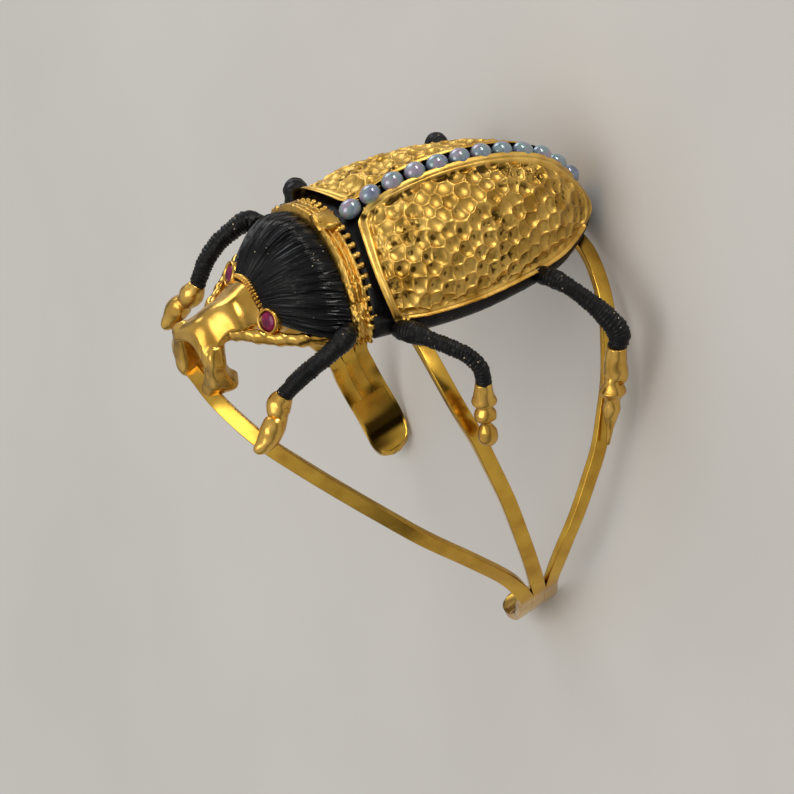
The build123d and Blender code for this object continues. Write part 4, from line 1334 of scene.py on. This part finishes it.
NECK_BEND = 0.7  # how far the neck of the cast head bends to its left
HEAD_YAW = 0.15  # how far the front of the cast head turns away from the middle
YAW_WAY = (30.0, 33.5)  # where that turn starts and where it is whole
FACE_GROOVES = (
    ((34.6, 2.0, -9.6), (34.4, 2.5, -11.4), (34.1, 2.6, -13.2), (34.0, 2.6, -14.4)),
    ((34.2, 3.4, -10.0), (34.1, 3.5, -11.8), (33.9, 3.6, -13.6)),
)
SIDE_BAR_ROUTE = (
    # ahead, out, height, radius
    (31.0, 3.0, -7.6, 0.80), (29.2, 4.4, -7.3, 0.85), (27.2, 6.3, -7.0, 0.82),
    (23.8, 9.0, -6.2, 0.84), (20.0, 10.8, -5.7, 0.80),
)
SIDE_BAR_LUMPS = (
    # height, radians for each millimetre, waves round
    (0.07, 2.1, 0), (0.05, 4.3, 2),
)
SIDE_BAR_FLATNESS = 0.15
RIB_SPREAD = np.linspace(-0.9, 0.86, 19)
RIB_TOP = (27.5, 0.0, -2.2)
RIB_REACH = (-0.9, 4.5, -2.4)  # from the top rib to the last one at a side
RIB_HALVES = (0.6, 0.2, 0.4)
EYE_CUP = (
    # height, radius
    (-2.6, 1.7), (-1.6, 1.85), (0.1, 1.75), (0.36, 1.68),
    (0.42, 1.5), (0.1, 1.36), (-0.7, 1.3),
)
CAST_VOXEL = 0.11
CAST_SOFTENING = 24  # rounds of smoothing
FACE_GROOVE_WIDTH = 0.15
FACE_GROOVE_DEPTH = 0.22


def even_columns(table, count):
    """Rows of a table, smooth and evenly spaced in its first column."""
    at = np.linspace(table[0, 0], table[-1, 0], count)
    order = np.argsort(table[:, 0])
    return through(table[order, 0], table[order], at)


def brow():
    """The forehead, which narrows from the eyes and widens again over the mandibles."""
    across = np.linspace(-1, 1, BROW_COLUMNS)
    fall = np.abs(across) ** BROW_FALL
    rings = []
    for x, half, top, under, edge_top, edge_under in even_columns(BROW, BROW_ROWS):
        over = np.stack([across * half, top + (edge_top - top) * fall], axis=1)
        below = np.stack([across * half * BROW_UNDER, under + (edge_under - under) * fall], axis=1)
        ring = np.vstack([over, below[::-1]])
        rings.append(np.column_stack([np.full(len(ring), x), ring]))
    return ring_solid(rings)


def squared(value):
    """A sine or cosine pushed outwards, so that a circle becomes a rounded square."""
    return np.sign(value) * np.abs(value) ** MANDIBLE_ROUNDNESS


def mandible(side):
    """A C-shaped mandible that ends in a foot and a rear tooth."""
    turns = circle_turns(MANDIBLE_SIDES)
    across, ahead = squared(np.cos(turns)), squared(np.sin(turns))
    rings = []
    for z, rear, front, inner, outer in even_columns(MANDIBLE, MANDIBLE_ROWS):
        x = (rear + front) / 2 + ahead * (front - rear) / 2
        x = x - BAY_SLANT * (1 - across) / 2 * (ahead < 0)
        y = (inner + outer) / 2 + across * (outer - inner) / 2
        rings.append(np.stack([x, side * y, np.full_like(x, z)], axis=1))
    return ring_solid(rings)


def vertex_vectors(mesh, name):
    """The places or normals of a mesh's vertices."""
    values = np.empty(len(mesh.vertices) * 3)
    mesh.vertices.foreach_get(name, values)
    return values.reshape(-1, 3)


def carve(piece, path):
    """Presses a groove into a piece along a path of beetle points."""
    mesh = piece.data
    points = vertex_vectors(mesh, "co")
    spots = laid(even_rows(path, 0.1))
    away = np.min([np.linalg.norm(points - spot, axis=1) for spot in spots], axis=0)
    press = FACE_GROOVE_DEPTH * MM * bell(away, 0.0, FACE_GROOVE_WIDTH * MM)
    points -= vertex_vectors(mesh, "normal") * press[:, None]
    mesh.vertices.foreach_set("co", points.ravel())
    mesh.update()


def head():
    """The cast head: its forehead and mandibles, melted into one."""
    points, faces = joined([brow(), mandible(1), mandible(-1)])
    points[:, 0] -= HEAD_YAW * points[:, 1] * fade(points[:, 0], *YAW_WAY)
    points[:, 1] += NECK_BEND * bell(points[:, 0], NECK_X, NECK_REACH)
    piece = closed_piece("cast_head", (points, faces), cast_gold)
    merge = piece.modifiers.new("merge", "REMESH")
    merge.mode = "VOXEL"
    merge.voxel_size = CAST_VOXEL * MM
    soften = piece.modifiers.new("soften", "SMOOTH")
    soften.factor = 0.5
    soften.iterations = CAST_SOFTENING
    settle(piece)
    for path in FACE_GROOVES:
        carve(piece, path)
    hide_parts("head")


def eye_axes(side):
    """Middle of an eye, and the directions up across it, sideways and out of it."""
    turn, lift = radians(EYE_TURN), radians(EYE_LIFT)
    looks = np.array([cos(turn) * cos(lift), side * sin(turn) * cos(lift), sin(lift)])
    sideways = unit(np.cross(looks, (0, 0, 1)))
    middle = np.array([EYE[0], side * EYE[1], EYE[2]])
    return middle, (np.cross(sideways, looks), sideways, looks)


def turned(middle, axes, profile, sides):
    """Solid of revolution from rows of height along the last axis, radius and shift of its turns."""
    rings = []
    for height, radius, shift in profile:
        ring = around(axes[0], axes[1], circle_turns(sides, shift))
        rings.append(middle + axes[2] * height + ring * radius)
    return ring_solid(rings)


def setting(side):
    """The cup that holds an eye."""
    return turned(*eye_axes(side), [(*row, 0.0) for row in EYE_CUP], 40)


def side_bar_section(rows, length, turn):
    """Radius of a side bar: a strip with soft lumps."""
    flat = 1 - SIDE_BAR_FLATNESS * np.cos(2 * turn)
    return rows[:, 3][:, None] * flat + waves(length, turn, SIDE_BAR_LUMPS)


def side_bar(side):
    """The strip under the shield's edge, from the mandible's root back to the front leg."""
    route = [(x, side * y, z, radius) for x, y, z, radius in SIDE_BAR_ROUTE]
    return tube(route, side_bar_section, spacing=0.12, sides=16)


def brow_ribs():
    """Short ribs that edge the forehead along the shield, from eye to eye."""
    ribs = []
    for across in RIB_SPREAD:
        shift = np.array((across**2, across, np.abs(across) ** 1.7)) * RIB_REACH
        ribs.append(egg(RIB_TOP + shift, np.eye(3), RIB_HALVES, seed=9, bumps=0.1))
    return ribs


def head_trim():
    """The eye settings, the ribs over the forehead and the side bars."""
    solids = brow_ribs()
    for side in (1, -1):
        solids += [setting(side), side_bar(side)]
    closed_piece("head_trim", joined(solids), cast_gold)


head()
head_trim()


# Cut stones of the eyes

RUBY_SIDES = 16
RUBY_RINGS = (
    # height, radius, shift of the corners
    (0.42, 0.70, 0.0), (0.27, 1.08, 0.5), (0.0, 1.29, 0.0),
    (-0.6, 0.4, 0.5),
)


def ruby(name, side):
    """A round cut stone with a table and two rows of facets."""
    points, quads = turned(*eye_axes(side), RUBY_RINGS, RUBY_SIDES)
    faces = []
    for face in quads:
        faces += [face] if len(face) > 4 else [face[:3], [face[0], face[2], face[3]]]
    piece = closed_piece(f"cut_ruby_{name}", (points, faces), ruby_stone, flat=True)
    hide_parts(f"ruby_{name}")


ruby("left", 1)
ruby("right", -1)


# Floor, lights and camera

CAMERA_PLACE = (272.1, 392.4, 344.1)
CAMERA_RIGHT = (-0.8674, 0.4828, 0.1218)
CAMERA_UP = (-0.2182, -0.5887, 0.7779)
CAMERA_BACK = (0.4477, 0.6480, 0.6164)
SENSOR_WIDTH = 36.0
FOCAL_LENGTH = 200.0
FLOOR_HALF = 3.0
LIT_PLACE = Vector((0, 0, 0.03))
WARM = (1.0, 0.96, 0.9)
COOL = (0.93, 0.96, 1.0)
LIGHTS = (
    # name, way to it as shares of the camera's right, up and back, distance, size, watts, colour
    ("key", (0.45, 0.8, 0.45), 0.8, 0.42, 9.0, WARM),
    ("rim", (-0.5, 0.9, -0.25), 0.8, 0.4, 1.8, COOL),
    ("fill", (-0.7, -0.1, 0.8), 1.0, 0.6, 3.0, WARM),
)
LOW_SHADE = (0.10, 0.085, 0.07)
HIGH_SHADE = (1.0, 0.98, 0.95)
HIGH_SHADE_FROM = 0.55
STUDIO_STRENGTH = 0.6


def direction(vector):
    """A beetle direction as a unit vector of the row frame."""
    tip, start = laid([vector, (0, 0, 0)])
    return Vector(tip - start).normalized()


def photo_camera(axes):
    """The camera where the photograph was taken from."""
    camera = bpy.data.cameras.new("photo_camera")
    camera.lens = FOCAL_LENGTH
    camera.sensor_width = SENSOR_WIDTH
    camera.clip_start = 0.01
    camera.clip_end = 20.0
    holder = new_object("photo_camera", camera)
    matrix = Matrix(axes).transposed().to_4x4()
    matrix.translation = Vector(laid([CAMERA_PLACE])[0])
    holder.matrix_world = matrix
    bpy.context.scene.camera = holder


def floor():
    """A plain pale floor under the bracelet."""
    mesh = bpy.data.meshes.new("floor")
    corners = [(x * FLOOR_HALF, y * FLOOR_HALF, 0) for x, y in ((-1, -1), (1, -1), (1, 1), (-1, 1))]
    mesh.from_pydata(corners, [], [(0, 1, 2, 3)])
    mesh.materials.append(floor_material())
    new_object("floor", mesh)


def soft_light(name, toward, distance, size, watts, colour):
    """A square soft light that faces the bracelet from a direction."""
    light = bpy.data.lights.new(name, "AREA")
    light.shape = "SQUARE"
    light.size = size
    light.energy = watts
    light.color = colour
    holder = new_object(name, light)
    holder.location = LIT_PLACE + toward * distance
    holder.rotation_mode = "QUATERNION"
    holder.rotation_quaternion = toward.to_track_quat("Z", "Y")


def studio_lights(axes):
    """The soft lights, placed round the bracelet by the camera's directions."""
    for name, shares, *settings in LIGHTS:
        toward = sum((axis * share for axis, share in zip(axes, shares)), Vector())
        soft_light(name, toward.normalized(), *settings)


def studio_world():
    """A studio that is dark below and pale above."""
    world = bpy.data.worlds.new("studio")
    bpy.context.scene.world = world
    nodes = Nodes(world, "Generated")
    height = nodes.add("ShaderNodeSeparateXYZ", {"Vector": nodes.place}).outputs["Z"]
    shade = nodes.ramp(height, (0.0, LOW_SHADE), (HIGH_SHADE_FROM, HIGH_SHADE))
    background = nodes.tree.nodes["Background"]
    nodes.fill(background, {"Color": shade, "Strength": STUDIO_STRENGTH})


camera_axes = [direction(vector) for vector in (CAMERA_RIGHT, CAMERA_UP, CAMERA_BACK)]
photo_camera(camera_axes)
floor()
studio_lights(camera_axes)
studio_world()
bpy.context.scene.view_settings.view_transform = "Standard"
